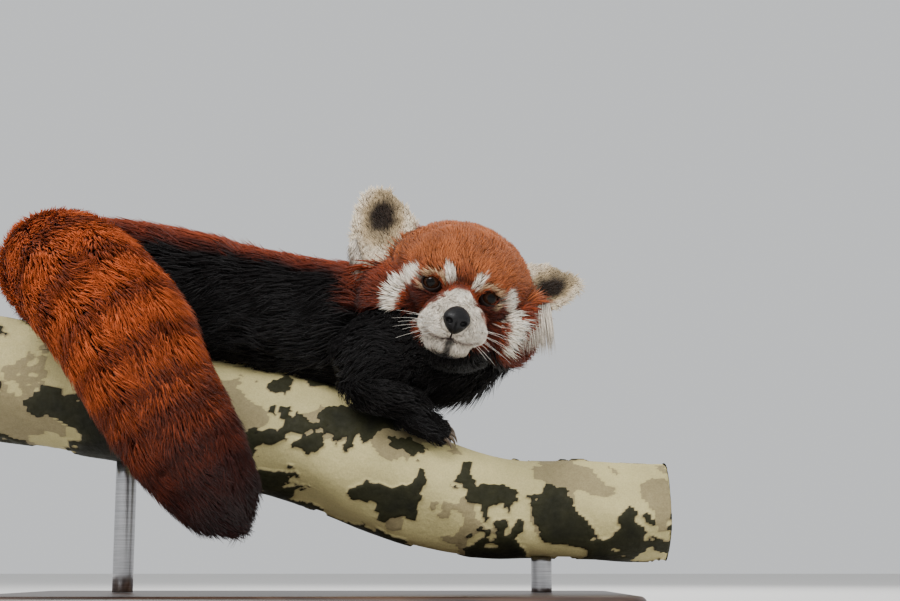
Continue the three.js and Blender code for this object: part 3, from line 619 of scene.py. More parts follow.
def grain_group():
    """Fine uneven grain over Object coordinates: a mask for colour and roughness, and a height."""
    if "surface grain" in bpy.data.node_groups:
        return bpy.data.node_groups["surface grain"]
    tree = bpy.data.node_groups.new("surface grain", "ShaderNodeTree")
    socket = tree.interface.new_socket
    for label, value in (("Scale", 200.0), ("Detail", 4.0), ("Contrast", 0.3)):
        socket(name=label, in_out="INPUT", socket_type="NodeSocketFloat").default_value = value
    for label in ("Mask", "Height"):
        socket(name=label, in_out="OUTPUT", socket_type="NodeSocketFloat")
    new, link = tree.nodes.new, tree.links.new
    given, out = new("NodeGroupInput"), new("NodeGroupOutput")
    where, cloud = new("ShaderNodeTexCoord"), new("ShaderNodeTexNoise")
    spread = new("ShaderNodeMapRange")
    for operation, limit in (("SUBTRACT", "From Min"), ("ADD", "From Max")):
        edge = new("ShaderNodeMath")
        edge.operation = operation
        edge.inputs[0].default_value = 0.5
        link(given.outputs["Contrast"], edge.inputs[1])
        link(edge.outputs[0], spread.inputs[limit])
    link(where.outputs["Object"], cloud.inputs["Vector"])
    link(given.outputs["Scale"], cloud.inputs["Scale"])
    link(given.outputs["Detail"], cloud.inputs["Detail"])
    link(cloud.outputs["Fac"], spread.inputs["Value"])
    link(spread.outputs["Result"], out.inputs["Mask"])
    link(cloud.outputs["Fac"], out.inputs["Height"])
    return tree


class Finish:
    """A material with a Principled shader, and short ways to wire it."""

    def __init__(self, name, **values):
        self.material = bpy.data.materials.new(name)
        self.material.use_nodes = True
        self.tree = self.material.node_tree
        self.shader = self.tree.nodes["Principled BSDF"]
        for label, value in values.items():
            self.shader.inputs[label.replace("_", " ")].default_value = value

    def node(self, kind, inputs=None, **values):
        """A new node with its settings, then the values of its inputs."""
        made = self.tree.nodes.new("ShaderNode" + kind)
        for label, value in values.items():
            setattr(made, label, value)
        for label, value in (inputs or {}).items():
            made.inputs[label].default_value = value
        return made

    def link(self, source, target):
        self.tree.links.new(source, target)

    def grain(self, scale, contrast=0.3, detail=4.0):
        inputs = {"Scale": scale, "Contrast": contrast, "Detail": detail}
        return self.node("Group", inputs, node_tree=grain_group())

    def mapped(self, **inputs):
        """Object coordinates moved, turned or stretched."""
        made = self.node("Mapping", inputs)
        self.link(self.node("TexCoord").outputs["Object"], made.inputs["Vector"])
        return made.outputs["Vector"]

    def cloud(self, vector, **inputs):
        """Noise over a vector."""
        made = self.node("TexNoise", inputs)
        self.link(vector, made.inputs["Vector"])
        return made.outputs["Fac"]

    def ramp(self, value, stops):
        """Colours along a value."""
        made = self.node("ValToRGB")
        elements = made.color_ramp.elements
        while len(elements) < len(stops):
            elements.new(0.5)
        for element, (at, colour) in zip(elements, stops):
            element.position = at
            element.color = (*colour, 1)
        self.link(value, made.inputs["Fac"])
        return made.outputs["Color"]

    def between(self, value, low, high):
        """A value of 0 to 1, brought between two others."""
        made = self.node("MapRange", {"To Min": low, "To Max": high})
        self.link(value, made.inputs["Value"])
        return made.outputs["Result"]

    def multiply(self, colour, value, low, high):
        """A colour made darker or lighter by a value, between two factors."""
        scale = self.node("VectorMath", operation="SCALE")
        self.link(colour, scale.inputs[0])
        self.link(self.between(value, low, high), scale.inputs["Scale"])
        return scale.outputs["Vector"]

    def base(self, colour):
        self.link(colour, self.shader.inputs["Base Color"])

    def roughness(self, value, low, high):
        self.link(self.between(value, low, high), self.shader.inputs["Roughness"])

    def bump(self, height, distance, strength):
        made = self.node("Bump", {"Strength": strength, "Distance": distance})
        self.link(height, made.inputs["Height"])
        self.link(made.outputs["Normal"], self.shader.inputs["Normal"])


def coat_finish(name, rough, sheen):
    """Fur or skin that takes its colour from the mesh, a little uneven from hair to hair."""
    made = Finish(name, Roughness=rough, Sheen_Weight=sheen, Sheen_Roughness=0.4, Specular_IOR_Level=0.16)
    colour = made.node("Attribute", attribute_name="coat colour")
    fine = made.grain(900, 0.25)
    varied = made.multiply(colour.outputs["Color"], fine.outputs["Mask"], 0.82, 1.15)
    made.base(made.multiply(varied, made.grain(45).outputs["Mask"], 0.9, 1.1))
    made.roughness(fine.outputs["Mask"], rough - 0.08, min(1, rough + 0.1))
    made.bump(fine.outputs["Height"], 0.0002, 0.5)
    return made.material


def eye_finish():
    """Dark brown iris round a black pupil under a wet gloss, from the mesh's own sight attribute."""
    made = Finish("wet dark eye", Roughness=0.08, Specular_IOR_Level=0.14)
    sight = made.node("Attribute", attribute_name="sight")
    stops = [(0.0, (0.003, 0.002, 0.002)), (0.36, (0.004, 0.003, 0.002)), (0.43, (0.026, 0.01, 0.005)),
             (0.72, (0.018, 0.007, 0.004)), (0.82, (0.004, 0.003, 0.002)), (1.0, (0.006, 0.004, 0.003))]
    fibres = made.grain(1400, 0.2)
    made.base(made.multiply(made.ramp(sight.outputs["Fac"], stops), fibres.outputs["Mask"], 0.6, 1.4))
    made.roughness(fibres.outputs["Mask"], 0.04, 0.09)
    return made.material


def hide_finish(name, colour, rough, scale, depth):
    """Bare hide: pebbled, with painted highlights on the pebbles' tops and painted shade in the creases."""
    made = Finish(name, Roughness=rough, Specular_IOR_Level=0.3)
    cells = made.node("TexVoronoi", feature="SMOOTH_F1")
    cells.inputs["Scale"].default_value = scale
    made.link(made.node("TexCoord").outputs["Object"], cells.inputs["Vector"])
    fine = made.grain(scale * 2.2)
    # Tops of the pebbles painted lighter and creases darker: painted highlight and painted shade.
    tint = made.ramp(cells.outputs["Distance"], [(0.0, scaled(colour, 1.5)), (0.9, scaled(colour, 0.55))])
    made.base(made.multiply(tint, fine.outputs["Mask"], 0.85, 1.15))
    made.roughness(fine.outputs["Mask"], rough - 0.1, rough + 0.12)
    flip = made.node("Math", operation="SUBTRACT")
    flip.inputs[0].default_value = 1
    made.link(cells.outputs["Distance"], flip.inputs[1])
    made.bump(flip.outputs[0], depth, 0.6)
    return made.material


def horn_finish(name, colour, rough):
    """Claw or whisker, with a fine uneven grain."""
    made = Finish(name, Roughness=rough, Coat_Weight=0.2, Coat_Roughness=0.2)
    fine = made.grain(700, 0.25)
    made.base(made.ramp(fine.outputs["Mask"], [(0.0, scaled(colour, 0.7)), (1.0, scaled(colour, 1.25))]))
    made.roughness(fine.outputs["Mask"], rough - 0.08, rough + 0.12)
    made.bump(fine.outputs["Height"], 0.0001, 0.4)
    return made.material


def bark_finish():
    """Plane-tree bark: cream new bark, tan younger plates and dark olive old ones."""
    made = Finish("flaking plane bark", Roughness=0.75, Specular_IOR_Level=0.22)
    plate = made.node("Attribute", attribute_name="plate")
    fine = made.grain(260, 0.25, 6)
    ragged = made.node("Math", operation="MULTIPLY_ADD")
    ragged.inputs[1].default_value = 0.07
    made.link(fine.outputs["Mask"], ragged.inputs[0])
    made.link(plate.outputs["Fac"], ragged.inputs[2])
    colour = made.ramp(ragged.outputs[0], [
        (0.0, tone(196, 184, 134)), (0.40, tone(180, 168, 116)), (0.43, tone(148, 136, 100)),
        (0.54, tone(134, 122, 90)), (0.56, tone(28, 24, 16)), (0.62, tone(44, 43, 25)),
        (0.8, tone(34, 34, 20)), (1.0, tone(24, 24, 16)),
    ])
    colour = made.multiply(colour, made.grain(28, 0.3, 5).outputs["Mask"], 0.8, 1.12)
    made.base(made.multiply(colour, made.grain(900, 0.16, 3).outputs["Mask"], 0.88, 1.06))
    made.roughness(fine.outputs["Mask"], 0.6, 0.9)
    made.bump(fine.outputs["Height"], 0.0012, 0.55)
    return made.material


def cut_wood_finish():
    """Sawn end of the limb: growth rings round its middle."""
    made = Finish("sawn end grain", Roughness=0.8)
    inputs = {"Scale": 70, "Distortion": 2.5, "Detail": 3}
    rings = made.node("TexWave", inputs, wave_type="RINGS", rings_direction="X")
    made.link(made.mapped(Location=(0, 0, -0.1354), Rotation=(0, -0.196, 0)), rings.inputs["Vector"])
    tint = made.ramp(rings.outputs["Fac"], [(0.0, tone(188, 150, 102)), (1.0, tone(222, 192, 146))])
    fine = made.grain(420)
    made.base(made.multiply(tint, fine.outputs["Mask"], 0.8, 1.1))
    made.roughness(fine.outputs["Mask"], 0.65, 0.9)
    made.bump(fine.outputs["Height"], 0.0006, 0.5)
    return made.material


def base_finish():
    """Dark stained wood, its grain along X, under a satin varnish."""
    made = Finish("stained display base", Roughness=0.38, Coat_Weight=0.25, Coat_Roughness=0.3)
    cloud = made.cloud(made.mapped(Scale=(6, 90, 90)), Scale=2.0, Detail=7, Distortion=0.6)
    made.base(made.ramp(cloud, [(0.3, tone(34, 24, 20)), (0.5, tone(58, 40, 31)), (0.72, tone(84, 60, 44))]))
    made.roughness(cloud, 0.28, 0.5)
    made.bump(cloud, 0.0004, 0.4)
    return made.material


def rod_finish():
    """Brushed steel, the brushing round the rod."""
    made = Finish("brushed steel rod", Metallic=1.0, Roughness=0.3)
    cloud = made.cloud(made.mapped(Scale=(30, 30, 1800)), Scale=1.0, Detail=4)
    made.base(made.ramp(cloud, [(0.3, tone(150, 150, 152)), (0.7, tone(196, 196, 198))]))
    made.roughness(cloud, 0.22, 0.42)
    made.bump(cloud, 0.00005, 0.4)
    return made.material


def show(piece, finish):
    """Gives a finished piece its material and its body."""
    piece.data.materials.clear()
    piece.data.materials.append(finish)
    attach(piece, "root")
    return piece


# Settings


def colour_property(name, description, default):
    return FloatVectorProperty(
        name=name, description=description, subtype="COLOR", size=3, min=0, max=1,
        default=tuple(float(v) for v in linear(default)),
    )
def length_property(name, description, default, low, high):
    return FloatProperty(
        name=name, description=description, default=default, min=low, max=high, unit="LENGTH",
    )


def tufts_property(name, where, default):
    return IntProperty(
        name=name + " tufts", description="Tufts on " + where, default=default, min=100, max=MOST_TUFTS,
    )

class CoatSettings(bpy.types.PropertyGroup):
    """Colours and density of the coat."""

    red: colour_property("Red", "Red-brown of the cheeks and back", (132, 54, 24))
    dark_red: colour_property("Dark red", "Dark red-brown of the lower cheeks and the tail", (84, 30, 15))
    rust: colour_property("Rust", "Orange-brown of the forehead", (162, 91, 50))
    black: colour_property("Black", "Black of the throat, flanks, belly and legs", (11, 8, 8))
    white: colour_property("White", "White of the muzzle, brows, cheek stripes and ears", (236, 224, 206))
    cream: colour_property("Cream", "Cream round the eyes and in the ears", (214, 190, 150))
    ear_dark: colour_property("Ear patch", "Dark patch in the cup of each ear", (42, 32, 24))
    ring: colour_property("Pale rings", "Rust of the tail's pale rings", (172, 78, 34))
    tip: colour_property("Tail tip", "Brown-black of the end of the tail", (44, 22, 20))
    skin_voxel: length_property("Skin detail", "Size of the skin's faces", 0.0022, 0.001, 0.01)
    face_tufts: tufts_property("Face", "the front of the head", 19500)
    crown_tufts: tufts_property("Crown", "the rest of the head", 16000)
    ear_tufts: tufts_property("Ear", "both ears", 12500)
    ruff_tufts: tufts_property("Ruff", "the neck", 13000)
    back_tufts: tufts_property("Back", "the upper half of the trunk", 17000)
    belly_tufts: tufts_property("Belly", "the lower half of the trunk", 8000)
    leg_tufts: tufts_property("Leg", "the legs and paws", 11500)
    tail_tufts: tufts_property("Tail", "each third of the tail", 16500)
    seed: IntProperty(name="Seed", description="Start of every random draw", default=4711, min=0, max=99999)


class HeadSettings(bpy.types.PropertyGroup):
    """Sizes of the small parts of the head."""

    eye_radius: length_property("Eye radius", "Radius of each eyeball", 0.008, 0.004, 0.012)
    whiskers: IntProperty(
        name="Whiskers", description="Whiskers on each side of the muzzle", default=11, min=0, max=40,
    )
    whisker_length: length_property("Whisker length", "Length of the longest whisker", 0.04, 0.01, 0.1)


class PerchSettings(bpy.types.PropertyGroup):
    """Sizes of the perch and its stand."""

    flake: length_property("Bark flake", "Thickness of the older bark plates", 0.0014, 0, 0.005)
    base_edge: length_property("Base edge", "Rounding of the base's upper edge", 0.005, 0.001, 0.01)


class RedPandaSettings(bpy.types.PropertyGroup):
    """All settings of the model."""

    coat: PointerProperty(type=CoatSettings, name="Coat", description="The coat's colours and density")
    head: PointerProperty(type=HeadSettings, name="Head", description="Small parts of the head")
    perch: PointerProperty(type=PerchSettings, name="Perch", description="The perch and its stand")


# The skin


def mass_form(bm, at, size, coat, place=lambda rows: rows):
    half = np.array(size) - coat * UNDER
    ball(bm, 40, 28, lambda rows: place(rows * half + at))


def limb_form(bm, limb):
    def place(rows):
        polar = np.arccos(np.clip(rows[:, 2], -1, 1)) / math.pi
        t = polar * 0.6 + (1 - rows[:, 2]) / 2 * 0.4
        return limb.point(t, np.arctan2(rows[:, 1], rows[:, 0]), limb.coat * UNDER)

    ball(bm, 36, 44, place)


def paw_form(bm, side, paw):
    ball(bm, 24, 16, lambda rows: paw_place(side, paw, rows * (paw[3] - 1, 15, 10.5)))
    size = np.array(TOE_SIZE) - 0.8
    for along, over in toe_roots(paw[3]):
        ball(bm, 14, 10, lambda rows: paw_place(side, paw, rows * size + (along, over, -1)))


def skin_forms(bm):
    """The flesh as overlapping closed forms, inside the coat."""
    for limb in [TORSO, TAIL, *LEGS]:
        limb_form(bm, limb)
    for mass in HEAD_MASSES:
        mass_form(bm, *mass, head_place)
    for mass in NECK_MASSES:
        mass_form(bm, *mass)
    for side in (-1, 1):
        ball(bm, 40, 40, lambda rows: head_place(ear_place(side, ear_bowl(rows))))
        for paw in PAWS:
            paw_form(bm, side, paw)


def ear_bowl(rows):
    """A petal hollowed from the front, in the ear's frame, its wall even."""
    up = (rows[:, 2] + 1) / 2
    flat = np.hypot(rows[:, 0], rows[:, 2])
    deep = EAR_DEEP * (1 - 0.35 * up) * np.sqrt(np.maximum(0, 1 - np.minimum(flat, 1) ** 2))
    wall = EAR_WALL * np.sqrt(np.maximum(0, 1 - flat**6))
    x = rows[:, 0] * (EAR_WIDE - 2) * (1 - 0.38 * up**2)
    y = -deep + np.where(rows[:, 1] > 0, wall * 0.5, -wall * 0.5) * (np.abs(rows[:, 1]) > 1e-4)
    y = y + (1 - smooth(0.0, 0.3, up)) * rows[:, 1] * 6
    return np.stack([x, y, up * (EAR_TALL - 2 + EAR_ROOT) - EAR_ROOT], axis=1)


def shape_face(rows):
    """Presses the eye sockets and the line of the mouth into skin corners, rows of the world."""
    head = in_head(rows)
    for side in (-1, 1):
        across = head[:, 0] - side * EYE_ACROSS
        wide = np.hypot(across / (EYE_WIDE + 2.2), head[:, 2] / (EYE_HIGH + 2.2))
        press = smooth(1.15, 0.75, wide) * (head[:, 1] > -25)
        head[:, 1] -= press * np.maximum(0, head[:, 1] - (EYE_AHEAD + 0.5))
    off = np.abs(head[:, 0])
    lip = np.abs(head[:, 2] - lip_height(off))
    groove = smooth(2.6, 0.4, lip) * smooth(20, 12, off) * (head[:, 1] > 0)
    head[:, 1] -= 1.6 * groove
    return head_place(head)


def make_skin(settings):
    bm = bmesh.new()
    skin_forms(bm)
    rough = keep("rough skin", bm)
    remesh = rough.modifiers.new("one skin", "REMESH")
    remesh.mode = "VOXEL"
    remesh.voxel_size = settings.skin_voxel
    even = rough.modifiers.new("even", "SMOOTH")
    even.factor = 0.5
    even.iterations = SKIN_SMOOTHING
    seen = rough.evaluated_get(bpy.context.evaluated_depsgraph_get())
    mesh = bpy.data.meshes.new_from_object(seen)
    mesh.name = "skin"
    bpy.data.objects.remove(rough)
    mesh.vertices.foreach_set("co", (shape_face(corners(mesh) / MM) * MM).ravel())
    mesh.update()
    mesh.polygons.foreach_set("use_smooth", np.ones(len(mesh.polygons), bool))
    points = corners(mesh) / MM
    places = Places(points, corners(mesh, "normal"))
    colours = places.colours(np.arange(len(points)), points, Palette(settings))
    # The skin is painted darker than the coat over it, as painted shade under the coat.
    give_colour(mesh, colours * SKIN_PAINTED_SHADE)
    skin = add_object("skin", mesh)
    show(skin, coat_finish("skin under the coat", 0.8, 0.02))
    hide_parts(*FLESH_NODES)
    return skin


# The coat


def skin_samples(mesh, count, seed):
    """Points spread evenly over a mesh and their normals, in millimetres."""
    draw = np.random.default_rng(seed)
    mesh.calc_loop_triangles()
    triangles = np.zeros(len(mesh.loop_triangles) * 3, int)
    mesh.loop_triangles.foreach_get("vertices", triangles)
    triangles = triangles.reshape(-1, 3)
    places, normals = corners(mesh) / MM, corners(mesh, "normal")
    a, b, c = (places[triangles[:, k]] for k in range(3))
    area = np.linalg.norm(np.cross(b - a, c - a), axis=1)
    chosen = draw.choice(len(triangles), count, p=area / area.sum())
    u, v = draw.random(count), draw.random(count)
    over = u + v > 1
    u[over], v[over] = 1 - u[over], 1 - v[over]
    weights = np.stack([1 - u - v, u, v], axis=1)[:, :, None]
    points = (places[triangles[chosen]] * weights).sum(axis=1)
    return points, unit((normals[triangles[chosen]] * weights).sum(axis=1))


def column(values):
    return values[:, None]


def tuft_mesh(name, root, normal, lie, length, height, width, colour, patch, tip_tint, root_painted_shade=0.5):
    """Tufts as closed three-sided spikes in three rings, each with its own patch of the map OFBake."""
    count = len(root)
    side = unit(np.cross(lie, normal))
    middle = root + lie * column(length * 0.45) + normal * column(height * 0.85)
    tip = root + lie * column(length) + normal * column(height * 0.98)
    rising = unit(lie * 0.45 * column(length) + normal * column(height * 0.85 + 0.6))
    up_root = unit(np.cross(side, rising))
    low = root - normal * 0.7
    verts = np.stack([
        low - side * column(width * 0.42), low + side * column(width * 0.42),
        low + up_root * column(width * 0.4),
        middle - side * column(width * 0.5), middle + side * column(width * 0.5),
        middle + normal * column(width * 0.34), tip,
    ], axis=1)
    loops = np.array([0, 3, 4, 1, 1, 4, 5, 2, 2, 5, 3, 0, 3, 6, 4, 4, 6, 5, 5, 6, 3, 0, 1, 2])
    starts = np.array([0, 4, 8, 12, 15, 18, 21])
    mesh = bpy.data.meshes.new(name)
    mesh.vertices.add(7 * count)
    mesh.vertices.foreach_set("co", (verts * MM).ravel())
    every = np.arange(count)[:, None]
    mesh.loops.add(24 * count)
    mesh.loops.foreach_set("vertex_index", (loops + 7 * every).ravel().astype(np.int32))
    mesh.polygons.add(7 * count)
    mesh.polygons.foreach_set("loop_start", (starts + 24 * every).ravel().astype(np.int32))
    mesh.polygons.foreach_set("use_smooth", np.ones(7 * count, bool))
    # Darker towards the root: painted shade down in the coat, strongest at the three root corners.
    painted_coat_shades = np.array([root_painted_shade] * 3 + [0.9, 0.9, 0.95, 1.0])[None, :, None]
    tints = np.repeat(colour[:, None, :], 7, axis=1) * painted_coat_shades
    tints[:, 6] = tints[:, 6] * tip_tint
    offsets = np.array([(-1, -1), (1, -1), (0, -0.8), (-0.9, 0), (0.9, 0), (0, 0.1), (0, 1)]) * PATCH_HALF
    flat = patch[:, None, :] + offsets[loops][None]
    layer = mesh.uv_layers.new(name="OFBake")
    layer.data.foreach_set("uv", flat.astype(np.float32).ravel())
    mesh.update(calc_edges=True)
    give_colour(mesh, np.clip(tints.reshape(-1, 3), 0, 1))
    return add_object(name, mesh)


def lies_open(roots, tips):
    """Which tufts leave the eyes, the nose and the line of the mouth clear."""
    clear = np.ones(len(roots), bool)
    for rows in (roots, in_head(tips)):
        a, b, c = rows.T
        front = b > -22
        for side in (-1, 1):
            wide = np.hypot((a - side * (EYE_ACROSS + 0.3)) / (EYE_WIDE + 0.7), c / (EYE_HIGH + 0.7))
            clear &= ~(front & (wide < 1))
        nose = np.hypot(a / (NOSE_SIZE[0] - 0.5), (c - NOSE_AT[2]) / (NOSE_SIZE[2] - 0.3))
        clear &= ~((b > 25) & (nose < 1))
        lip = np.abs(c - lip_height(np.abs(a)))
        clear &= ~((b > 5) & (lip < 0.8 - 0.05 * np.abs(a)) & (np.abs(a) < 15))
    return clear


# Coat pieces: name, region, the setting that holds the count, a tuft's width in millimetres and the slot
COAT_PIECES = [
    ("coat_face", "face", "face_tufts", 0.62, "pale_fur"),
    ("coat_crown", "crown", "crown_tufts", 1.2, "red_fur"),
    ("coat_ears", "ears", "ear_tufts", 0.62, "pale_fur"),
    ("coat_ruff", "ruff", "ruff_tufts", 1.4, "red_fur"),
    ("coat_back", "back", "back_tufts", 1.5, "red_fur"),
    ("coat_belly", "belly", "belly_tufts", 1.5, "black_fur"),
    ("coat_legs", "legs", "leg_tufts", 1.15, "black_fur"),
    ("coat_tail_root", "tail root", "tail_tufts", 1.15, "red_fur"),
    ("coat_tail_middle", "tail middle", "tail_tufts", 1.15, "red_fur"),
    ("coat_tail_tip", "tail tip", "tail_tufts", 1.15, "red_fur"),
]
TAIL_MIDDLE_FROM, TAIL_TIP_FROM = 0.34, 0.66


def regions(places, normals):
    """Which samples belong to each region, by name."""
    part = places.part
    head, trunk, tail = part == HEAD_PART, part == TRUNK_PART, part == TAIL_PART
    front, upper = (normals @ AHEAD > 0.3) | (places.head[:, 1] > 2), np.sin(places.turn) > 0
    root, tip = places.t < TAIL_MIDDLE_FROM, places.t >= TAIL_TIP_FROM
    return {
        "face": head & front, "crown": head & ~front, "ears": part == EAR_PART, "ruff": part == NECK_PART,
        "back": trunk & upper, "belly": trunk & ~upper,
        "legs": ((part >= FIRST_LEG) & (part < HEAD_PART)) | (part == PAW_PART),
        "tail root": tail & root, "tail middle": tail & ~root & ~tip, "tail tip": tail & tip,
    }


def make_coat(skin, settings):
    palette = Palette(settings)
    draw = np.random.default_rng(settings.seed)
    points, normals = skin_samples(skin.data, SKIN_POINTS, settings.seed)
    places = Places(points, normals)
    by_region = regions(places, normals)
    finish = coat_finish("coat", 0.65, 0.06)
    for name, region, setting, width, slot in COAT_PIECES:
        found = np.where(by_region[region])[0]
        density = np.ones(len(found))
        if region == "face":
            density = 0.5 + 1.5 * smooth(-30, 10, places.head[found, 1])
        count = min(getattr(settings, setting), len(found))
        chosen = draw.choice(found, count, replace=False, p=density / density.sum())
        show(grow_tufts(name, region, width, chosen, places, normals[chosen], palette, draw), finish)


def tuft_shapes(region, width, chosen, places, normal, draw):
    """Length, height, width and lie of the tufts of a region, from where each stands."""
    depth, head, count = places.depth[chosen], places.head[chosen], len(chosen)
    length = 3.2 + 1.85 * depth
    height = depth * draw.uniform(0.62, 1.1, count)
    lie, down = places.lie[chosen], np.array([0.0, 0.0, -1.0])
    if region in ("back", "belly"):
        lie = unit(lie + 0.4 * down * column(np.abs(np.cos(places.turn[chosen]))))
    if region == "ruff":
        lie = unit(lie + 0.25 * down)
    if region in ("face", "crown"):
        across, ahead, up = head.T
        cheek = smooth(26, 48, np.abs(across)) * smooth(8, -20, up)
        crown = smooth(4, 16, up) * smooth(6, -8, ahead)
        snout, throat = smooth(-2, 10, ahead), smooth(-43, -50, up)
        lie = unit(lie + 0.35 * column(cheek) * down)
        longest = 11 if region == "face" else 20
        length = np.minimum(2.8 + 1.3 * depth + 2 * crown + 0.8 * snout, longest) + 7 * throat
        height = height + 3.2 * crown + 0.5 * snout + 2 * throat
        length = length + 13 * smooth(42, 60, -across) * smooth(-42, -24, up) * smooth(-4, -24, ahead)
        width = width + 0.3 * smooth(4, 12, depth)
    if region == "ears":
        cup = places.facing[chosen] > 0.2
        length = np.where(cup, 6.5, 4.2)
        height = np.where(cup, 1.7, 1.3) * draw.uniform(0.8, 1.1, count)
    if region.startswith("tail"):
        length = length - 13
    root = places.points[chosen]
    lie = unit(lie - normal * column((lie * normal).sum(axis=1)))
    sway = 0.5 * wander(root, 14 if region in ("face", "ears") else 26, 12) + 0.16 * draw.normal(size=count)
    lie = lie * column(np.cos(sway)) + np.cross(normal, lie) * column(np.sin(sway))
    length = length * draw.uniform(0.75, 1.2, count) * (1 + 0.12 * wander(root, 17, 31))
    return length, height, width * draw.uniform(0.75, 1.25, count), lie


def grow_tufts(name, region, width, chosen, places, normal, palette, draw):
    """One piece of the coat, its tufts rooted at the chosen samples."""
    root, count = places.points[chosen], len(chosen)
    length, height, width, lie = tuft_shapes(region, width, chosen, places, normal, draw)
    seen = root + lie * column(0.72 * length) + normal * column(0.85 * height)
    colour = places.colours(chosen, seen, palette)
    spread = (0.1 if region == "ears" else 0.3) * (1 - 0.6 * colour.mean(axis=1))
    shade = (1 + spread * draw.uniform(-1, 1, count)) * (1 + 0.5 * spread * wander(root, 8, 44))
    bright = 1.05 + 0.45 * draw.random(count)
    patch = np.stack([places.t[chosen], (places.turn[chosen] + math.pi) / (2 * math.pi)], axis=1)
    patch = 0.02 + 0.96 * np.clip(patch, 0, 1)
    if region == "legs":
        patch[:, 0] = (patch[:, 0] + places.part[chosen] - FIRST_LEG) / (PAW_PART - FIRST_LEG + 1)
    pick = np.arange(count)
    if region in ("face", "crown"):
        tips = root + lie * column(length) + normal * column(height)
        pick = np.where(lies_open(places.head[chosen], tips))[0]
    rows = (root, normal, lie, length, height, width, colour * column(shade), patch, column(bright))
    # The last number sets the painted shade at the tufts' roots, with less of it in the ears.
    return tuft_mesh(name, *(values[pick] for values in rows), 0.8 if region == "ears" else 0.5)


def long_locks(palette, finish, seed):
    """The long white hair that hangs from the root and outer edge of each ear."""
    draw = np.random.default_rng(seed)
    roots, ends = [], []
    for side, low, high, drop in ((-1, -12, 12, 16), (1, -10, 16, 42)):
        z = draw.uniform(low, high, LOCKS_PER_EAR)
        out = 21 + 4 * draw.random(LOCKS_PER_EAR) - 0.004 * (z - 14) ** 2
        start = np.stack([out, -3 + 4 * draw.random(LOCKS_PER_EAR), z], axis=1)
        root = head_place(ear_place(side, start))
        outer = head_place(ear_place(side, start + (6, 0.5, -1))) - root
        fall = drop * column(draw.uniform(0.35, 1.0, LOCKS_PER_EAR))
        end = root + unit(outer + (0, 0, -4)) * fall * 0.55 + fall * (0.04, -0.06, -0.5)
        ends.append(end + draw.normal(size=(LOCKS_PER_EAR, 3)))
        roots.append(root)
    root, end = np.vstack(roots), np.vstack(ends)
    count = len(root)
    lie = unit(end - root)
    normal = unit(AHEAD - lie * column(lie @ AHEAD))
    length = np.linalg.norm(end - root, axis=1)
    colour = np.repeat(palette.white[None], count, axis=0) * column(draw.uniform(0.7, 1.05, count))
    patch = 0.1 + 0.8 * draw.random((count, 2))
    height, width = np.full(count, 1.6), np.full(count, 0.8)
    made = tuft_mesh(
        "coat_ear_locks", root, normal, lie, length, height, width, colour, patch, np.ones((count, 1)),
    )
    return show(made, finish)


# Eyes, lids, nose, mouth, whiskers and claws


def make_eyes(settings):
    for side, label in ((-1, "right"), (1, "left")):
        centre, sight, up, over = eye_frame(side)
        radius = settings.eye_radius / MM

        def eyeball(rows):
            bulge = 1 + 0.05 * smooth(0.75, 0.95, rows[:, 2])
            at = rows[:, 2:] * sight + rows[:, 1:2] * up + rows[:, :1] * over
            return centre + at * column(radius * bulge)

        bm = bmesh.new()
        ball(bm, 48, 32, eyeball)
        eye = keep("eye_ball_" + label, bm)
        off = unit(corners(eye.data) / MM - centre)
        angle = np.arccos(np.clip(off @ sight, -1, 1)) / math.radians(62)
        mask = eye.data.attributes.new("sight", "FLOAT", "POINT")
        mask.data.foreach_set("value", np.clip(angle, 0, 1).astype(np.float32))
        show(eye, eye_finish())
        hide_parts("eye_" + label)
        make_lids(label, centre, sight, up, over, radius)


def make_lids(label, centre, sight, up, over, radius):
    """Upper and lower lids as one rolled rim round the almond opening."""
    bm = bmesh.new()
    verts = bmesh.ops.create_uvsphere(bm, u_segments=56, v_segments=12, radius=1)["verts"]
    poles = [v for v in verts if abs(v.co.z) > 0.999]
    bmesh.ops.delete(bm, geom=poles, context="VERTS")
    for v in bm.verts:
        k = (math.acos(max(-1, min(1, v.co.z))) / math.pi - 1 / 12) / (10 / 12)
        turn = math.atan2(v.co.y, v.co.x)
        high = EYE_HIGH * (0.95 if turn > 0 else 0.88)
        opening = 1 / math.hypot(math.cos(turn) / EYE_WIDE, math.sin(turn) / high)
        start = math.asin(min(0.95, opening / (radius + 0.6)))
        polar = start + (1.3 - start) * k
        size = radius + 0.35 + 0.9 * math.sin(math.pi * min(1, 0.25 + 0.75 * k)) ** 0.7
        flat = math.sin(polar) * size
        row = centre + sight * math.cos(polar) * size
        row = row + over * math.cos(turn) * flat + up * math.sin(turn) * flat
        v.co = row * MM
    lids = keep("eyelids_" + label, bm)
    wall = lids.modifiers.new("lid thickness", "SOLIDIFY")
    wall.thickness = 0.0007
    wall.offset = -1
    finer = lids.modifiers.new("soft rim", "SUBSURF")
    finer.levels = 1
    finer.render_levels = 1
    show(lids, hide_finish("eyelid hide", tone(24, 15, 12), 0.6, 900, 0.0002))


